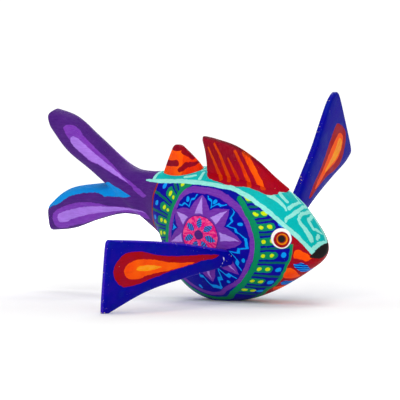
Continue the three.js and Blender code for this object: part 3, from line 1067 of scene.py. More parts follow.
# Borders round the medallion, as (angle in degrees, distance).
RING = [
    (-140, 25.2), (-118, 25), (-92, 23.8), (-64, 20.4), (-34, 20.8), (-13, 22.5), (5.5, 24.1),
    (19, 24.7), (36, 24.2), (56, 23.2), (77, 22.8), (96, 23.2), (112, 24.3), (127, 22.7),
    (138, 21.3), (150, 20.3), (164, 19.9), (175, 20.5), (190, 22), (205, 24), (220, 25.2),
]
GREEN_FRONT = [
    (-140, 27.5), (-118, 27.2), (-92, 26.2), (-74, 22.6), (-49, 21.5), (-25, 22.7), (-8, 24.1),
    (7, 25.2), (18, 25.5), (33, 24.9), (51, 24.8),
]
GREEN_REAR = [
    (104, 26), (112, 25.4), (119, 25), (127, 23.7), (138, 22.3), (150, 21.3), (164, 20.9),
    (175, 21.5), (195, 24), (220, 26.5),
]
BAND_END = [
    (-140, 32), (-92, 30.2), (-75, 29.5), (-54, 29.4), (-41, 31.1), (-25, 33.6), (-17, 35.1),
    (-10, 36.8), (-3, 37.4), (3, 37.5), (13, 36.5), (23.5, 33.2), (33, 31), (60, 29),
]

# The line before the tail, as (z, x).
RUST_LINE = [
    (8, -77), (14.4, -76.6), (19.3, -74.8), (23.9, -72.8), (27.3, -72), (30.4, -71.1),
    (32.6, -70.4), (38, -69.6),
]

# Brush lines: (half width or its two ends, places).
SMALL_FRET = [
    (0.8, [(-10.6, 0), (-12.3, 0.4), (-14.6, 1.4)]),
    (0.85, [(-14.7, 1.4), (-14.7, 5), (-14.8, 8.4)]),
    (0.4, [(-14.7, 8.8), (-13.5, 8.4), (-11.5, 7.3), (-9.9, 6.6), (-8.9, 6.1)]),
    ((0.6, 0.85), [(-8.9, 6.1), (-8.7, 4), (-8.7, 1.8), (-8.6, -2.1)]),
    ((1.5, 0.5), [(-16, -3), (-12.1, -2.8), (-9.9, -3.1), (-8.9, -3.8)]),
    (0.8, [(-7.6, -6.9), (-6.8, -3.2), (-6.7, 1.6), (-7.8, 8.3)]),
]
LARGE_FRET = [
    ((1.35, 0.8), [(-0.2, -2.8), (-1.3, -2.6), (-2.7, -2.4), (-4.1, -2.6)]),
    (0.8, [(-4.1, -2.6), (-5, -2), (-5.6, 0.9), (-5.5, 4.2), (-6, 7.8)]),
    (0.75, [(-5.1, 8.2), (-3.5, 2.4), (-2.4, 1.9), (-1.4, 1.7), (-0.9, 3), (-0.3, 4.4)]),
    (0.72, [(0.1, 2), (0.4, 0.2)]),
    (0.92, [(0.8, -5.5), (1.1, -2.1), (1.2, 0.9), (1.3, 4.5)]),
]
BACK_STROKES = [
    ((0.75, 0.6), [(-55.7, -5.8), (-52.9, -5.6), (-50.6, -5.0)]),
    ((0.7, 0.5), [(-52.6, -2.7), (-51.3, 0.2), (-51.0, 3.8)]),
    ((0.85, 0.6), [(-47.2, -6.9), (-47.4, -4.9), (-47.8, -2.9)]),
    ((0.5, 0.45), [(-49.6, -1.5), (-48.2, 0.9)]),
]

# The front dorsal fin's paint on the back, as (x, y).
FOOT_NEAR = [
    (-46.7, 1.5), (-45.3, 4.2), (-42.2, 6.6), (-37.4, 7.4), (-32.4, 7.9), (-29.4, 7.2),
    (-24.8, 5.3), (-21.2, 4.7), (-16.9, 3.7), (-14.6, 0.6), (-13.5, -2),
]
FOOT_STREAKS = [
    (0.8, [(-38.9, -3.4), (-37.1, -5.9)]),
    (0.8, [(-35.1, -2.8), (-33.3, -5.5)]),
    (0.7, [(-31.1, -2), (-30.3, -3.6)]),
    (0.9, [(-26.2, -1.6), (-24.5, -4.4)]),
    (1.0, [(-21.2, 0.4), (-19.7, -2)]),
]
FOOT_FAR = [(-46.7, 1.5), (-44, 5.5), (-37, 8), (-30, 9.2), (-22, 9.6), (-13, 9.8)]

# Paint on the cheeks: patches between a lower and an upper curve of x.
CHEEK_FLAMES = [
    [
        [(-4.9, 2.9), (-2.3, 2.1), (-0.6, 0.9), (1, 1.2)],
        [(-4.9, 3), (-4.4, 5.3), (-3.2, 6.6), (-1.4, 5.3), (0, 3.8), (1, 1.6)],
    ],
    [
        [(-13, -6.2), (-11.4, -7.1), (-10.2, -7.8), (-8.8, -7.6), (-7.4, -5.8), (-6.6, -3.2)],
        [(-13, -6), (-10.9, -2.9), (-9.3, -1.1), (-7.5, -1.2), (-6.6, -3)],
    ],
    [
        [(-22.3, -13.4), (-21, -14.2), (-19, -13.6), (-17.2, -12.4)],
        [(-22.3, -13.2), (-19, -11.1), (-17.8, -11.1), (-17.2, -12.2)],
    ],
]
CHEEK_STRIPES = [
    [
        [(-6, -0.2), (-5.7, -3), (-5.2, -5.2), (-4.2, -5.8), (-2.6, -4), (-1.2, -1.6)],
        [(-6, 0), (-5.4, 0.6), (-3.2, 0.6), (-1.2, -1.4)],
    ],
    [
        [(-17, -11.1), (-16.2, -12), (-14.1, -11.4), (-12.4, -10.4)],
        [(-17, -10.9), (-15.5, -8.9), (-13.8, -8.1), (-12.4, -10.2)],
    ],
]

# Strokes on the tail's lobes, as (paint, lower curve, upper curve): on the upper
# lobe in the run and rise of tail_paint(), on the lower lobe in x and z.
UPPER_LOBE_STROKES = [
    (
        "tail_stroke",
        [
            (-117.4, -26), (-114.1, -27.3), (-111, -28.3), (-104.4, -29.6), (-100.3, -29.7),
            (-95.2, -28.7), (-90.5, -28.2), (-83.3, -27.3), (-78.8, -26.9), (-76.1, -27.6),
            (-71.9, -27.5), (-70.7, -26),
        ],
        [
            (-117.4, -25.8), (-116.3, -23.9), (-114.8, -22.7), (-112, -22), (-108.1, -23),
            (-103.2, -23.6), (-97.8, -24.2), (-92.7, -24.5), (-88.2, -25.1), (-84.1, -25.7),
            (-75.4, -25.6), (-70.7, -25.8),
        ],
    ),
    (
        "tail_light",
        [
            (-112, -27.4), (-109.9, -28.9), (-104.5, -29.4), (-100.4, -29.5), (-95.4, -28.5),
            (-90.6, -28), (-83.4, -27.1), (-79, -26.8),
        ],
        [
            (-112, -27.2), (-110.9, -25.8), (-108.6, -25.5), (-103.4, -25.8), (-97.2, -26),
            (-92.5, -25.9), (-85, -26.1), (-79, -26.6),
        ],
    ),
]
LOWER_LOBE_STROKES = [
    (
        "tail_stroke",
        [
            (-136.2, 14), (-134.6, 9.8), (-132, 9.6), (-125.6, 11), (-117.8, 12.5), (-109.8, 14.7),
            (-101.3, 17.1), (-95, 18.4), (-90, 18.3), (-84, 17.3), (-78, 16.2),
        ],
        [
            (-136.2, 14.2), (-134.2, 17), (-130.8, 18.9), (-121.9, 21.7), (-113.6, 22.9),
            (-108.5, 22.9), (-101.4, 21.9), (-92.1, 21.1), (-84, 20.8), (-80.5, 19.6), (-78, 16.4),
        ],
    ),
    (
        "tail_light",
        [
            (-132.8, 14.6), (-131.4, 12.6), (-124, 14.7), (-112.9, 17.3), (-100.7, 18.9),
            (-92.8, 19.6), (-84, 19.9), (-79, 18.6),
        ],
        [
            (-132.8, 14.8), (-130.8, 16.9), (-122.5, 19.2), (-111.6, 21), (-101.4, 21.4),
            (-92.3, 20.8), (-84, 20.6), (-79, 18.8),
        ],
    ),
]

# The bright blue band's lower edge, and the cleft between the lobes above it.
BLUE_EDGE = [
    (-140, 17.6), (-136.1, 19.2), (-130.2, 21.3), (-121.6, 25.2), (-113.6, 26.7), (-107.3, 27.1),
    (-103.5, 26.5), (-102, 25.8), (-91.8, 26.1), (-85.8, 27),
]
CLEFT = [
    (-140, 31), (-103.5, 31), (-101, 31.6), (-99, 32.4), (-97.9, 32.6), (-96.2, 32), (-94.2, 31.1),
    (-91.8, 30.3), (-88.7, 28.4), (-85.8, 26.6),
]


def ridge_arcs():
    """(x, arc) over the ridge: arc(x) is the sum of the crest's chords from the nose to x."""
    centre, arm, _, _ = trunk_section(np.linspace(TRUNK_END, 0, TABLE_SIZE))
    crest = centre + arm
    chords = np.linalg.norm(np.diff(crest, axis=0), axis=1)
    arcs = chords.sum() - np.append(0, chords.cumsum())
    return [(x, float(np.interp(x, crest[:, 0], arcs))) for x in RIDGE_PLACES]


def on_ridge(lines, ridge):
    """Brush lines with their x turned into arc length over the ridge."""
    xs, arcs = np.array(ridge).T
    return [
        (width, [(float(np.interp(x, xs, arcs)), y) for x, y in places])
        for width, places in lines
    ]


def on_flank(x, z):
    """The place on the left flank at x and z."""
    beyond = np.full(1, OUTSIDE_FLANK)
    y = meet_trunk(lambda y: np.stack([0 * y + x, y, 0 * y + z], -1), 0 * beyond, beyond, 0)
    return x, float(y[0]), z


def rosette(x, z, r, theta, ground):
    """The medallion: a sun of eight rays in a zigzag sea, round a pink flower above the middle."""
    rho = r / curve(theta, RING) * MEDALLION_RADIUS
    rim = rho - MEDALLION_RADIUS
    ground = coat(ground, "purple", rim)
    push = most(1.0 - rho * rho / MEDALLION_SPAN, 0.0)
    x, z = x + push * 1.5, z - push * 6.0
    rho, theta = length(x, z), x.math("ARCTAN2", z, x) * DEGREES
    ray = (theta / RAY_ANGLE).wrapped()
    sea_start = 13.2 + 6.2 * (1.0 - abs(ray) * 2.0)
    sea = most(sea_start - rho, rim + 2.1)
    tint = coat(ground, "deep_blue", sea)
    wave = abs(rho - (sea_start + 1.5 + (theta * 4.0 / RAY_ANGLE).zigzag() * 1.5)) - 0.52
    tint = coat(tint, "sky", most(wave, rim + 2.5))
    gap = (theta / RAY_ANGLE + 0.5).wrapped() * (RAY_ANGLE / DEGREES)
    tint = coat(tint, "sky", length(rim + 3.6, gap * rho) - 0.85)
    wedge = most(abs(ray) * (RAY_ANGLE / DEGREES) * rho - (18.4 - rho) * 0.26, 10.3 - rho)
    tint = coat(tint, "lavender", wedge)
    patchy = step(noise(pair(rho * 0.3, theta * 0.12), 1.0), 0.4, 0.65)
    petals = mix(patchy, colour("pink"), colour("rose"))
    flower = coat(coat(tint, "tail", rho - 9.5), petals, rho - 9.1)
    petal = (theta / PETAL_ANGLE + 0.35).wrapped() * (PETAL_ANGLE / DEGREES)
    window = abs(petal) * rho - (1.5 - (rho - 5.7) * (rho - 5.7) * 0.2)
    every_other = step((rho * 0.85 + petal * 2.0).zigzag(), 0.4, 0.6)
    stripes = mix(every_other, colour("tail"), colour("bright_blue"))
    flower = coat(flower, stripes, window)
    return coat(flower, "tail", rho - 2.3)


def front_rows(under, x, z, r, theta, start, end):
    """Rows of tongues and dots between two borders ahead of the medallion."""
    wide, u = end - start, r - start
    tilt = least(most(0.2 - z * 0.022, 0.08), 0.33)
    level = z + tilt * (x + 17.0)
    row = curve(level, ROWS).wrapped()
    v = row * FRONT_ROW
    band = coat(colour("deep_blue"), "dark_green", (0.5 - abs(row)) * FRONT_ROW - 0.42)
    band = coat(band, "green", length(most(u - (wide * 0.6 - 1.5), 0.0), v) - 1.5)
    dots = least(length(u - wide * 0.06 - 0.6, v), length(u - wide * 0.27 - 1.6, v))
    band = coat(band, "lime", dots - 0.8)
    band = coat(band, "sky", most(length(u - wide * 0.79, v) - 0.95, 6.6 - wide))
    return coat(under, band, most(start - r, r - end, (theta - 60.0) * 0.4, -18.5 - level))


def rear_rows(under, r, theta, start):
    """The same behind the medallion, in rows that lean with the curve."""
    u = r - start - REAR_LINE
    row = ((theta - (r - 25.0) * 0.8 - 130.5) / 13.5).wrapped()
    v = row * REAR_ROW
    band = coat(colour("deep_blue"), "dark_green", (0.5 - abs(row)) * REAR_ROW - 0.45)
    band = coat(band, "green", length(most(u - 4.4, 0.0), v) - 1.75)
    band = coat(band, "lime", least(length(u - 0.9, v), length(u - 3.4, v * 0.8)) - 0.8)
    band = coat(band, "sky", most(length(u - 8.6, v) - 0.95, (theta - 192.0) * 0.1))
    return coat(under, band, most(-u, 104.0 - theta))


def tail_paint(x, side, z):
    """The tail: purple, a light stroke in a middle one on each lobe, and a bright blue band."""
    run = x * 0.629 - side * 0.205 - z * 0.75
    rise = x * 0.475 - side * 0.663 + z * 0.58
    tail = lay(colour("tail"), run, rise, UPPER_LOBE_STROKES)
    blue = most(curve(x, BLUE_EDGE) - z, z - curve(x, CLEFT), x - BLUE_EDGE[-1][0]) * CURVE_SLOPE
    return lay(coat(tail, "bright_blue", blue), x, z, LOWER_LOBE_STROKES)


def body_paint():
    """The painted body: tail, saddle with frets, banded flanks, medallions and face."""
    material, tree = new_material("body_paint")
    true_point = fish_point(tree)
    x, y, z = parts(use("hand_wobble", {"Point": true_point, "Amount": WOBBLE}))
    side = abs(y)
    across, over = x - MEDALLION[0], z - MEDALLION[1]
    r = length(across, over)
    theta = r.math("ARCTAN2", over, across) * DEGREES
    theta = theta + theta.math("LESS_THAN", theta, -140.0) * 360.0
    tint = rosette(across, over, r, theta, colour("deep_blue"))

    # Rows of tongues and dots ahead of the medallion and behind it.
    green = curve(theta, GREEN_FRONT)
    band_end = curve(theta, BAND_END)
    tint = front_rows(tint, x, z, r, theta, green + 1.15, band_end)
    rear = curve(theta, GREEN_REAR)
    tint = rear_rows(tint, r, theta, rear)
    line_rear = most(abs(r - rear) - REAR_LINE, 106.0 - theta)
    slim = 1.15 - step(theta, 20.0, 52.0) * 0.42
    line_front = length(r - green, most((theta - 49.0) * 0.43, 0.0)) - slim
    tint = coat(tint, "green", least(line_rear, line_front))

    # Cheeks.
    cheek = most(band_end - r, (theta - 16.0) * 0.5, -120.0 - theta)
    patchy = step(noise(pair(x * 0.25, z * 0.9), 1.0), 0.4, 0.6)
    tint = coat(tint, mix(patchy, colour("brick"), colour("crimson")), cheek)
    flames = least(*(between(x, z, *lines) for lines in CHEEK_FLAMES))
    tint = coat(tint, "orange", most(flames, cheek + 0.3))
    striped = least(*(between(x, z, *lines) for lines in CHEEK_STRIPES))
    every_other = step(((z + x * 0.45) / 1.5).zigzag(), 0.4, 0.6)
    stripes = mix(every_other, colour("deep_blue"), colour("sky"))
    tint = coat(tint, stripes, most(striped, cheek + 0.3))
    cheek_line = least(abs(r - band_end), most(abs(theta + 120.0) * 0.55, band_end - r))
    thin = most(cheek_line - 0.55, theta + 2.0, -121.0 - theta)
    tint = coat(tint, "green", thin)

    # Tail.
    border = x - curve(z, RUST_LINE)
    tail = tail_paint(x, side, z)
    tint = coat(tint, tail, border)
    tint = coat(tint, "rust", abs(border) - 0.5)

    # Saddle, its mint line and the strokes on it.
    line = (side - curve(x, SADDLE_SIDE)) * 0.77 - (z - curve(x, SADDLE_HEIGHT)) * 0.64
    above = 1.2 - z
    tint = coat(tint, "teal", most(line, -73.6 - x, above))
    ridge = ridge_arcs()
    raised = strokes(pair(curve(x, ridge), y), on_ridge(SMALL_FRET + LARGE_FRET, ridge))
    from_above = pair(x, y)
    tint = coat(tint, "mint", most(least(raised, strokes(from_above, BACK_STROKES)), line, above))
    near_edge, far_edge = -y - curve(x, FOOT_NEAR), y - curve(x, FOOT_FAR)
    front_end = x + 14.3 + most(y, 0.0) * 0.33
    foot = most(near_edge, far_edge, front_end, 20.0 - z, -46.7 - x)
    tint = coat(tint, "crimson", foot)
    tint = coat(tint, linear(EMBER), most(strokes(from_above, FOOT_STREAKS), foot))
    half_line = curve(x, [(-79, 0.25), (-73, 0.8), (-66, 1.05), (3, 1.05)])
    border_line = most(abs(line) - half_line, -78.2 - x, above)
    mint_line = least(border_line, most(abs(x + 73.8) - 0.8, line))
    tint = coat(tint, "mint", mint_line)

    # Nose and eye.
    nose_end = curve(z, [(-1, 2.4), (0, 1.8), (1.2, 1.1), (2.6, 0.4), (4.6, 0.2), (6, 2.4)])
    nose_top = curve(side, [(0, 4.2), (2.7, 3.9), (4.9, 3.4), (7, 2.7)])
    tint = coat(tint, "black", most(nose_end - x, z - nose_top, -0.9 - z))
    x, y, z = parts(use("hand_wobble", {"Point": true_point, "Amount": EYE_WOBBLE}))
    surface = pair(x, abs(y), z)
    raised_paint = [line_front, raised, mint_line]
    for paint, place, radius in EYE_RINGS:
        gap = vector("DISTANCE", surface, on_flank(*place), out="Value") - radius
        tint = coat(tint, paint, gap)
        if paint == "white":
            raised_paint.append(gap)

    relief = 0.0
    for shape in raised_paint:
        relief = (1.0 - step(shape, -0.5, 0.15)) * PAINT_RELIEF + relief
    tips = step(-x, 118.0, 142.0)
    wear = use("worn_edge", {"Point": true_point, "Edge": tips, "Amount": 0.22})
    finish_paint(tree, true_point, tint, wear, relief)
    return material


# Flames on the pectoral fins, as (paint, lower curve, upper curve) along the fin.
FLAMES = {
    "right": [
        (
            "crimson",
            [
                (6.3, 2.6), (10, 1.4), (16, 1.2), (22, 0.2), (28, -0.4), (34, -1.2), (40, -2.3),
                (46, -3.4), (52, -4.5), (57, -4.7), (60, -3.7), (62.4, -1.7), (63.9, 0.6),
                (64.5, 2.4),
            ],
            [
                (6.3, 2.7), (10, 3.0), (16, 3.6), (22, 4.0), (28, 4.6), (34, 5.2), (40, 6.2),
                (46, 7.8), (52, 9.1), (57, 9.3), (60, 8.3), (62.4, 6.4), (63.9, 4.3), (64.5, 2.5),
            ],
        ),
        (
            "orange",
            [
                (19.5, 0.8), (22, 0.5), (28, -0.2), (34, -0.7), (40, -0.9), (46, -1.4), (51, -2.1),
                (55, -1.7), (57.6, -0.2), (59, 1.8),
            ],
            [
                (19.5, 0.9), (22, 1.2), (28, 1.7), (34, 2.6), (40, 4.1), (46, 5.3), (51, 5.8),
                (55, 5.3), (57.6, 4.0), (59, 1.9),
            ],
        ),
        (
            "amber",
            [(37.8, 1.1), (40, 0.9), (46, 0.6), (50, 0.8), (52.4, 1.6)],
            [(37.8, 1.2), (40, 1.7), (46, 2.9), (50, 3.0), (52.4, 1.9)],
        ),
    ],
    "left": [
        (
            "crimson",
            [
                (17, -1.6), (20.5, -3), (24.5, -3.6), (29.5, -4.5), (36.3, -6), (40.8, -7.2),
                (46.5, -9.6), (52.2, -11.4), (57.3, -12.3), (61.5, -11.4), (65.2, -9.7),
                (67.7, -7.6), (69.2, -5.8), (69.8, -4.9),
            ],
            [
                (17, -1.5), (24.6, -0.1), (30, 0.1), (35.9, 0.5), (42.1, 1.5), (47.3, 2.6),
                (51.3, 3.6), (55, 4.3), (58.7, 4.8), (61.7, 5), (63.6, 4.2), (65.5, 2.4),
                (67.5, 0), (69.1, -3), (69.8, -4.8),
            ],
        ),
        (
            "orange",
            [
                (25, -2.8), (29.8, -4), (34, -4.3), (38.3, -4.6), (42.4, -5.4), (47.1, -6.8),
                (51.9, -8.1), (56.2, -8.6), (60, -8.1), (62.9, -7), (65.2, -5.1), (66, -4),
            ],
            [
                (25, -2.6), (28.8, -2), (33.4, -1.8), (39.1, -1.5), (43.3, -1), (47.6, -0.5),
                (54.7, 0), (61, 0.1), (62.9, -0.5), (64.5, -1.7), (66, -3.9),
            ],
        ),
        (
            "amber",
            [
                (38, -4.2), (40.6, -4.5), (44.6, -5.3), (49.5, -6.5), (54.6, -7.4), (58.6, -7.5),
                (62, -6.6), (63.4, -5.2), (63.8, -4.7),
            ],
            [
                (38, -4), (41.8, -3.6), (45.7, -3.6), (50.2, -3.6), (53.7, -3.4), (57.4, -2.9),
                (60.8, -2.1), (62.4, -2.9), (63.8, -4.6),
            ],
        ),
    ],
}


def fin_paint(side):
    """A pectoral fin: deep blue with a flame on both faces, violet rims of painted bounce light,
    chipped edges, and a pale arc at the root that is a painted glint as well as chipped paint.
    """
    fin = FINS[side]
    material, tree = new_material(f"{side}_fin_paint")
    out, up, ahead = (roll_matrix() @ v for v in fin_axes(fin))
    axes = np.column_stack([out, up, ahead * fin["side"]])
    point = object_point(tree, axes, to_row(fin_root(fin)))
    s, t, w = parts(use("hand_wobble", {"Point": point, "Amount": WOBBLE}))
    end = fin["length"]
    half = curve(s, [(-6, 3), (12, 2.5), (38, 2), (end - 1, 1.5), (end, 1)])
    rim_share = abs(parts(point)[2]) / half
    # Violet on the narrow edges and on the end is painted bounce light from the table. The far
    # fin's top edge, which faces up, stays deep blue.
    crown = t - 2.0 if side == "left" else -1.0
    tint = coat(colour("deep_blue"), "bounce_violet", most((rim_share - 0.68) * 4.0, crown))
    tint = coat(tint, "bounce_violet", most(end - 0.9 - s, 0.1 - w))
    tint = lay(tint, s, t, FLAMES[side], (0.7 - rim_share) * 4.0)
    # A pale arc near the root that paints both the glint of light on the root and chipped paint
    # there.
    patchy = (0.47 - noise(point, 0.9, 1.0)) * 5.0
    glint_and_chip = most(abs(s - (t * t * 0.12 + 4.4)) - 0.32, abs(t + 0.6) - 2.1, patchy)
    tint = coat(tint, linear(GLINT_AND_CHIP), glint_and_chip)
    edge = most(1.0 - step(rim_share, 0.6, 0.95), step(s, end - 3.0, end), 1.0 - step(s, 3.0, 6.5))
    wear = use("worn_edge", {"Point": point, "Edge": edge, "Amount": 0.3})
    hidden = add(tree, "ShaderNodeAttribute", attribute_name="unpainted")
    bare = most(wear, Signal(tree, hidden.outputs["Fac"]))
    finish_paint(tree, point, tint, bare, stroke=(0.2, 1.4, 1.4))
    return material


# Brush lines on the dorsal fins, as (x, z).
FRONT_STREAKS = [
    ((0.5, 0.95), [(-43.2, 47.4), (-42, 43.7), (-40.4, 38.6), (-39.2, 35.2), (-38.2, 33.4)]),
    ((0.5, 0.95), [(-39.8, 49.2), (-37.9, 44.8), (-36.4, 39.1), (-34.6, 33.5)]),
    ((0.45, 0.8), [(-34.2, 42.9), (-32.8, 39), (-31.6, 36), (-30.6, 33.2)]),
    ((0.5, 0.95), [(-30.9, 45.6), (-29, 41.2), (-27.4, 36.2), (-25.6, 30.5)]),
    ((0.6, 1.0), [(-27.8, 44.9), (-25.5, 40.7)]),
    ((1.0, 1.15), [(-25.5, 40.7), (-23, 35.2), (-20.6, 29)]),
]
REAR_BANDS = [
    ((1.1, 1.25), [(-69, 39.9), (-64, 40.4), (-60.6, 40.9)]),
    ((0.9, 1.15), [(-59.6, 38.0), (-57.4, 38.9), (-55.9, 40.0)]),
    ((1.0, 0.7), [(-54.4, 40.0), (-52.6, 39.9)]),
    ((1.3, 1.0), [(-56.8, 45.6), (-54.6, 43.9), (-53.4, 42.7)]),
    ((0.7, 1.0), [(-51.8, 41.6), (-49.0, 43.0)]),
]


def front_dorsal_paint():
    """Crimson, browner towards the tip, with five orange brush streaks and a dark edge."""
    material, tree = new_material("front_dorsal_paint")
    point = fish_point(tree)
    x, _, z = parts(use("hand_wobble", {"Point": point, "Amount": DORSAL_WOBBLE}))
    tint = mix(step(z, 36.0, 44.0), colour("crimson"), linear(OLD_CRIMSON))
    patchy = (noise(pair(x * 1.3, z * 0.18), 1.0) - 0.5) * 12.0
    glow = mix(step(x + patchy, -31.0, -22.0), linear(EMBER), colour("orange"))
    tint = coat(tint, glow, strokes(pair(x, z), FRONT_STREAKS))
    true_x, true_y, _ = parts(point)
    ahead = most(true_x + BOW_START, 0.0)
    bowed = ahead * ahead * DORSALS["front"]["bow"]
    rim = (1.0 - step(abs(true_y - bowed), 0.5, 1.4)) * step(z, 30.0, 44.0)
    tint = mix(rim * 0.6, tint, linear(DARK_RIM))
    wear = use("worn_edge", {"Point": point, "Edge": rim, "Amount": 0.2})
    finish_paint(tree, point, tint, wear, stroke=(1.8, 1.8, 0.22), streaks=1.3)
    return material


def rear_dorsal_paint():
    """Orange, redder on its front face, with crimson bands."""
    material, tree = new_material("rear_dorsal_paint")
    point = fish_point(tree)
    x, _, z = parts(use("hand_wobble", {"Point": point, "Amount": DORSAL_WOBBLE}))
    ridge = x - curve(z, [(36, -58.6), (40, -57.6), (50, -56.8)])
    tint = mix(step(ridge, -0.3, 0.3), colour("orange"), linear(RED_ORANGE))
    bands = least(45.9 - z, strokes(pair(x, z), REAR_BANDS))
    tint = coat(tint, mix(noise(point, 0.5), colour("crimson"), linear(OLD_BAND)), bands)
    rim = 1.0 - step(abs(parts(point)[1]), 0.4, 1.2)
    wear = use("worn_edge", {"Point": point, "Edge": rim, "Amount": 0.2})
    finish_paint(tree, point, tint, wear, stroke=(1.6, 1.6, 0.4))
    return material


def table_material():
    """A pale, faintly mottled tabletop."""
    material, tree = new_material("pale_table")
    place = Signal(tree, add(tree, "ShaderNodeTexCoord").outputs["Object"])
    tint = mix(noise(place, 3.0, 3.0), linear((250, 250, 250)), linear((254, 254, 254)))
    shader = tree.nodes["Principled BSDF"]
    tree.links.new(tint.socket, shader.inputs["Base Color"])
    shader.inputs["Roughness"].default_value = 0.8
    shader.inputs["Specular IOR Level"].default_value = 0.0
    shader.inputs["Emission Color"].default_value = (1, 1, 1, 1)
    far = step(vector("LENGTH", place, out="Value"), 0.1, 0.7) * 0.72 + 0.02
    tree.links.new(far.socket, shader.inputs["Emission Strength"])
    return material


class FISH_OT_paints(bpy.types.Operator):
    """Mix the paint, brush and wood effects that the pieces share"""

    bl_idname = "fish.mix_paints"
    bl_label = "Paints"

    def execute(self, context):
        build_groups()
        return {"FINISHED"}


class FISH_OT_body(bpy.types.Operator):
    """Build the carved and painted body with its forked tail"""

    bl_idname = "fish.build_body"
    bl_label = "Body"

    def execute(self, context):
        paint, wood = body_paint(), wood_material()
        grids = [trunk_grid(*TRUNK_GRID), lobe_grid(*LOBE_GRID)]
        piece = solid("painted_body", grids, [paint, wood])
        remesh = piece.modifiers.new("carve", "REMESH")
        remesh.mode = "VOXEL"
        remesh.voxel_size = context.scene.fish_sizes.grain
        remesh.use_smooth_shade = True
        smooth = piece.modifiers.new("sand", "SMOOTH")
        smooth.factor = 0.5
        smooth.iterations = 8
        soften(freeze(piece), FORK_MIDDLE, FORK_REACH, FORK_ROUNDS)
        cutters = [solid(f"{side}_socket", [socket_grid(fin)], []) for side, fin in FINS.items()]
        for cutter in cutters:
            cut = piece.modifiers.new("socket", "BOOLEAN")
            cut.operation = "DIFFERENCE"
            cut.solver = "EXACT"
            cut.object = cutter
        mesh = freeze(piece, BODY_SHARP)
        for cutter in cutters:
            bpy.data.objects.remove(cutter, do_unlink=True)
        sand_flat(mesh)
        mesh.materials.clear()
        mesh.materials.append(paint)
        mesh.materials.append(wood)
        paint_sockets(mesh)
        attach(piece, "fish")
        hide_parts("carved_body")
        return {"FINISHED"}


class FISH_OT_pegs(bpy.types.Operator):
    """Give the hidden pegs their bare wood"""

    bl_idname = "fish.dress_pegs"
    bl_label = "Pegs"

    def execute(self, context):
        wood = bpy.data.materials["copal"]
        for name in ("front_dorsal_peg_front", "front_dorsal_peg_rear", "rear_dorsal_peg"):
            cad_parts[name].material_slots[0].material = wood
        return {"FINISHED"}


class FISH_OT_pectorals(bpy.types.Operator):
    """Build the two pectoral fins that push into the flanks"""

    bl_idname = "fish.build_pectorals"
    bl_label = "Pectoral fins"

    def execute(self, context):
        for side, fin in FINS.items():
            grid, hidden = fin_grid(fin)
            piece = solid(f"{side}_painted_fin", [grid], [fin_paint(side)])
            ring = np.repeat(np.arange(len(grid)) < hidden, grid.shape[1])
            unpainted = piece.data.attributes.new("unpainted", "FLOAT", "POINT")
            unpainted.data.foreach_set("value", np.append(ring, [True, False]).astype(np.float32))
            sand_flat(piece.data)
            shade(piece.data, PECTORAL_SHARP)
            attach(piece, f"{side}_fin")
            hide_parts(f"{side}_pectoral_fin")
        return {"FINISHED"}


class FISH_OT_dorsals(bpy.types.Operator):
    """Build the two dorsal fins pegged to the back"""

    bl_idname = "fish.build_dorsals"
    bl_label = "Dorsal fins"

    def execute(self, context):
        for end, slot, paint in (
            ("front", "red_paint", front_dorsal_paint),
            ("rear", "orange_paint", rear_dorsal_paint),
        ):
            piece = solid(f"{end}_painted_dorsal", [dorsal_grid(DORSALS[end])], [paint()])
            shade(piece.data, DORSAL_SHARP)
            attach(piece, "fish")
            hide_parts(f"{end}_dorsal_fin")
        return {"FINISHED"}


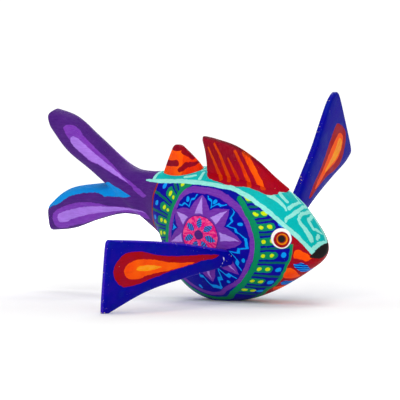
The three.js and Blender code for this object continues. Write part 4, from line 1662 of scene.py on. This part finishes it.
class FISH_OT_stage(bpy.types.Operator):
    """Set the table, the lights and the camera"""

    bl_idname = "fish.build_stage"
    bl_label = "Stage"

    def execute(self, context):
        scene = context.scene
        mesh = bpy.data.meshes.new("floor")
        mesh.from_pydata([(-3, -3, 0), (3, -3, 0), (3, 3, 0), (-3, 3, 0)], [], [(0, 1, 2, 3)])
        mesh.update()
        floor = bpy.data.objects.new("floor", mesh)
        scene.collection.objects.link(floor)
        mesh.materials.append(table_material())
        world = bpy.data.worlds.new("studio")
        world.use_nodes = True
        tree = world.node_tree
        seen = Signal(tree, add(tree, "ShaderNodeLightPath").outputs["Is Camera Ray"])
        tree.links.new((0.35 + seen * 0.75).socket, tree.nodes["Background"].inputs["Strength"])
        tree.nodes["Background"].inputs["Color"].default_value = (1, 1, 1, 1)
        scene.world = world
        target = Vector(LIGHT_TARGET)
        for name, place, size, power in LIGHTS:
            light = bpy.data.lights.new(name, "AREA")
            light.energy, light.size = power, size
            lamp = bpy.data.objects.new(name, light)
            lamp.location = place
            lamp.rotation_euler = (target - lamp.location).to_track_quat("-Z", "Y").to_euler()
            scene.collection.objects.link(lamp)
        azimuth, elevation = math.radians(CAMERA_AZIMUTH), math.radians(CAMERA_ELEVATION)
        level = math.cos(elevation)
        back = Vector((math.sin(azimuth) * level, -math.cos(azimuth) * level, math.sin(elevation)))
        right = Vector((math.cos(azimuth), math.sin(azimuth), 0))
        above = back.cross(right)
        aim = Vector(CAMERA_AIM)
        camera = bpy.data.cameras.new("camera")
        camera.lens, camera.sensor_width = CAMERA_LENS, SENSOR_WIDTH
        camera.clip_start, camera.clip_end = 0.05, 20
        eye = bpy.data.objects.new("camera", camera)
        eye.location = aim + back * CAMERA_DISTANCE
        look = aim + above * LOOK_ABOVE - right * LOOK_LEFT
        eye.rotation_euler = (look - eye.location).to_track_quat("-Z", "Y").to_euler()
        scene.collection.objects.link(eye)
        scene.camera = eye
        scene.view_settings.view_transform = "Standard"
        scene.view_settings.look = "None"
        return {"FINISHED"}


class FISH_PT_panel(bpy.types.Panel):
    """The fish's operators and sizes"""

    bl_idname = "FISH_PT_panel"
    bl_label = "Painted fish"
    bl_space_type = "VIEW_3D"
    bl_region_type = "UI"
    bl_category = "Fish"

    def draw(self, context):
        column = self.layout.column()
        for operator in OPERATORS:
            column.operator(operator.bl_idname)
        for name in FishSizes.__annotations__:
            column.prop(context.scene.fish_sizes, name)
        for name in FishColours.__annotations__:
            column.prop(context.scene.fish_colours, name)


OPERATORS = (
    FISH_OT_paints, FISH_OT_body, FISH_OT_pegs, FISH_OT_pectorals, FISH_OT_dorsals, FISH_OT_stage,
)
CLASSES = (FishSizes, FishColours, *OPERATORS, FISH_PT_panel)


def register():
    for cls in CLASSES:
        bpy.utils.register_class(cls)
    bpy.types.Scene.fish_sizes = bpy.props.PointerProperty(type=FishSizes)
    bpy.types.Scene.fish_colours = bpy.props.PointerProperty(type=FishColours)


def unregister():
    del bpy.types.Scene.fish_colours
    del bpy.types.Scene.fish_sizes
    for cls in reversed(CLASSES):
        bpy.utils.unregister_class(cls)


def main():
    register()
    bpy.ops.fish.mix_paints()
    bpy.ops.fish.build_body()
    bpy.ops.fish.dress_pegs()
    bpy.ops.fish.build_pectorals()
    bpy.ops.fish.build_dorsals()
    bpy.ops.fish.build_stage()


if __name__ == "__main__":
    main()
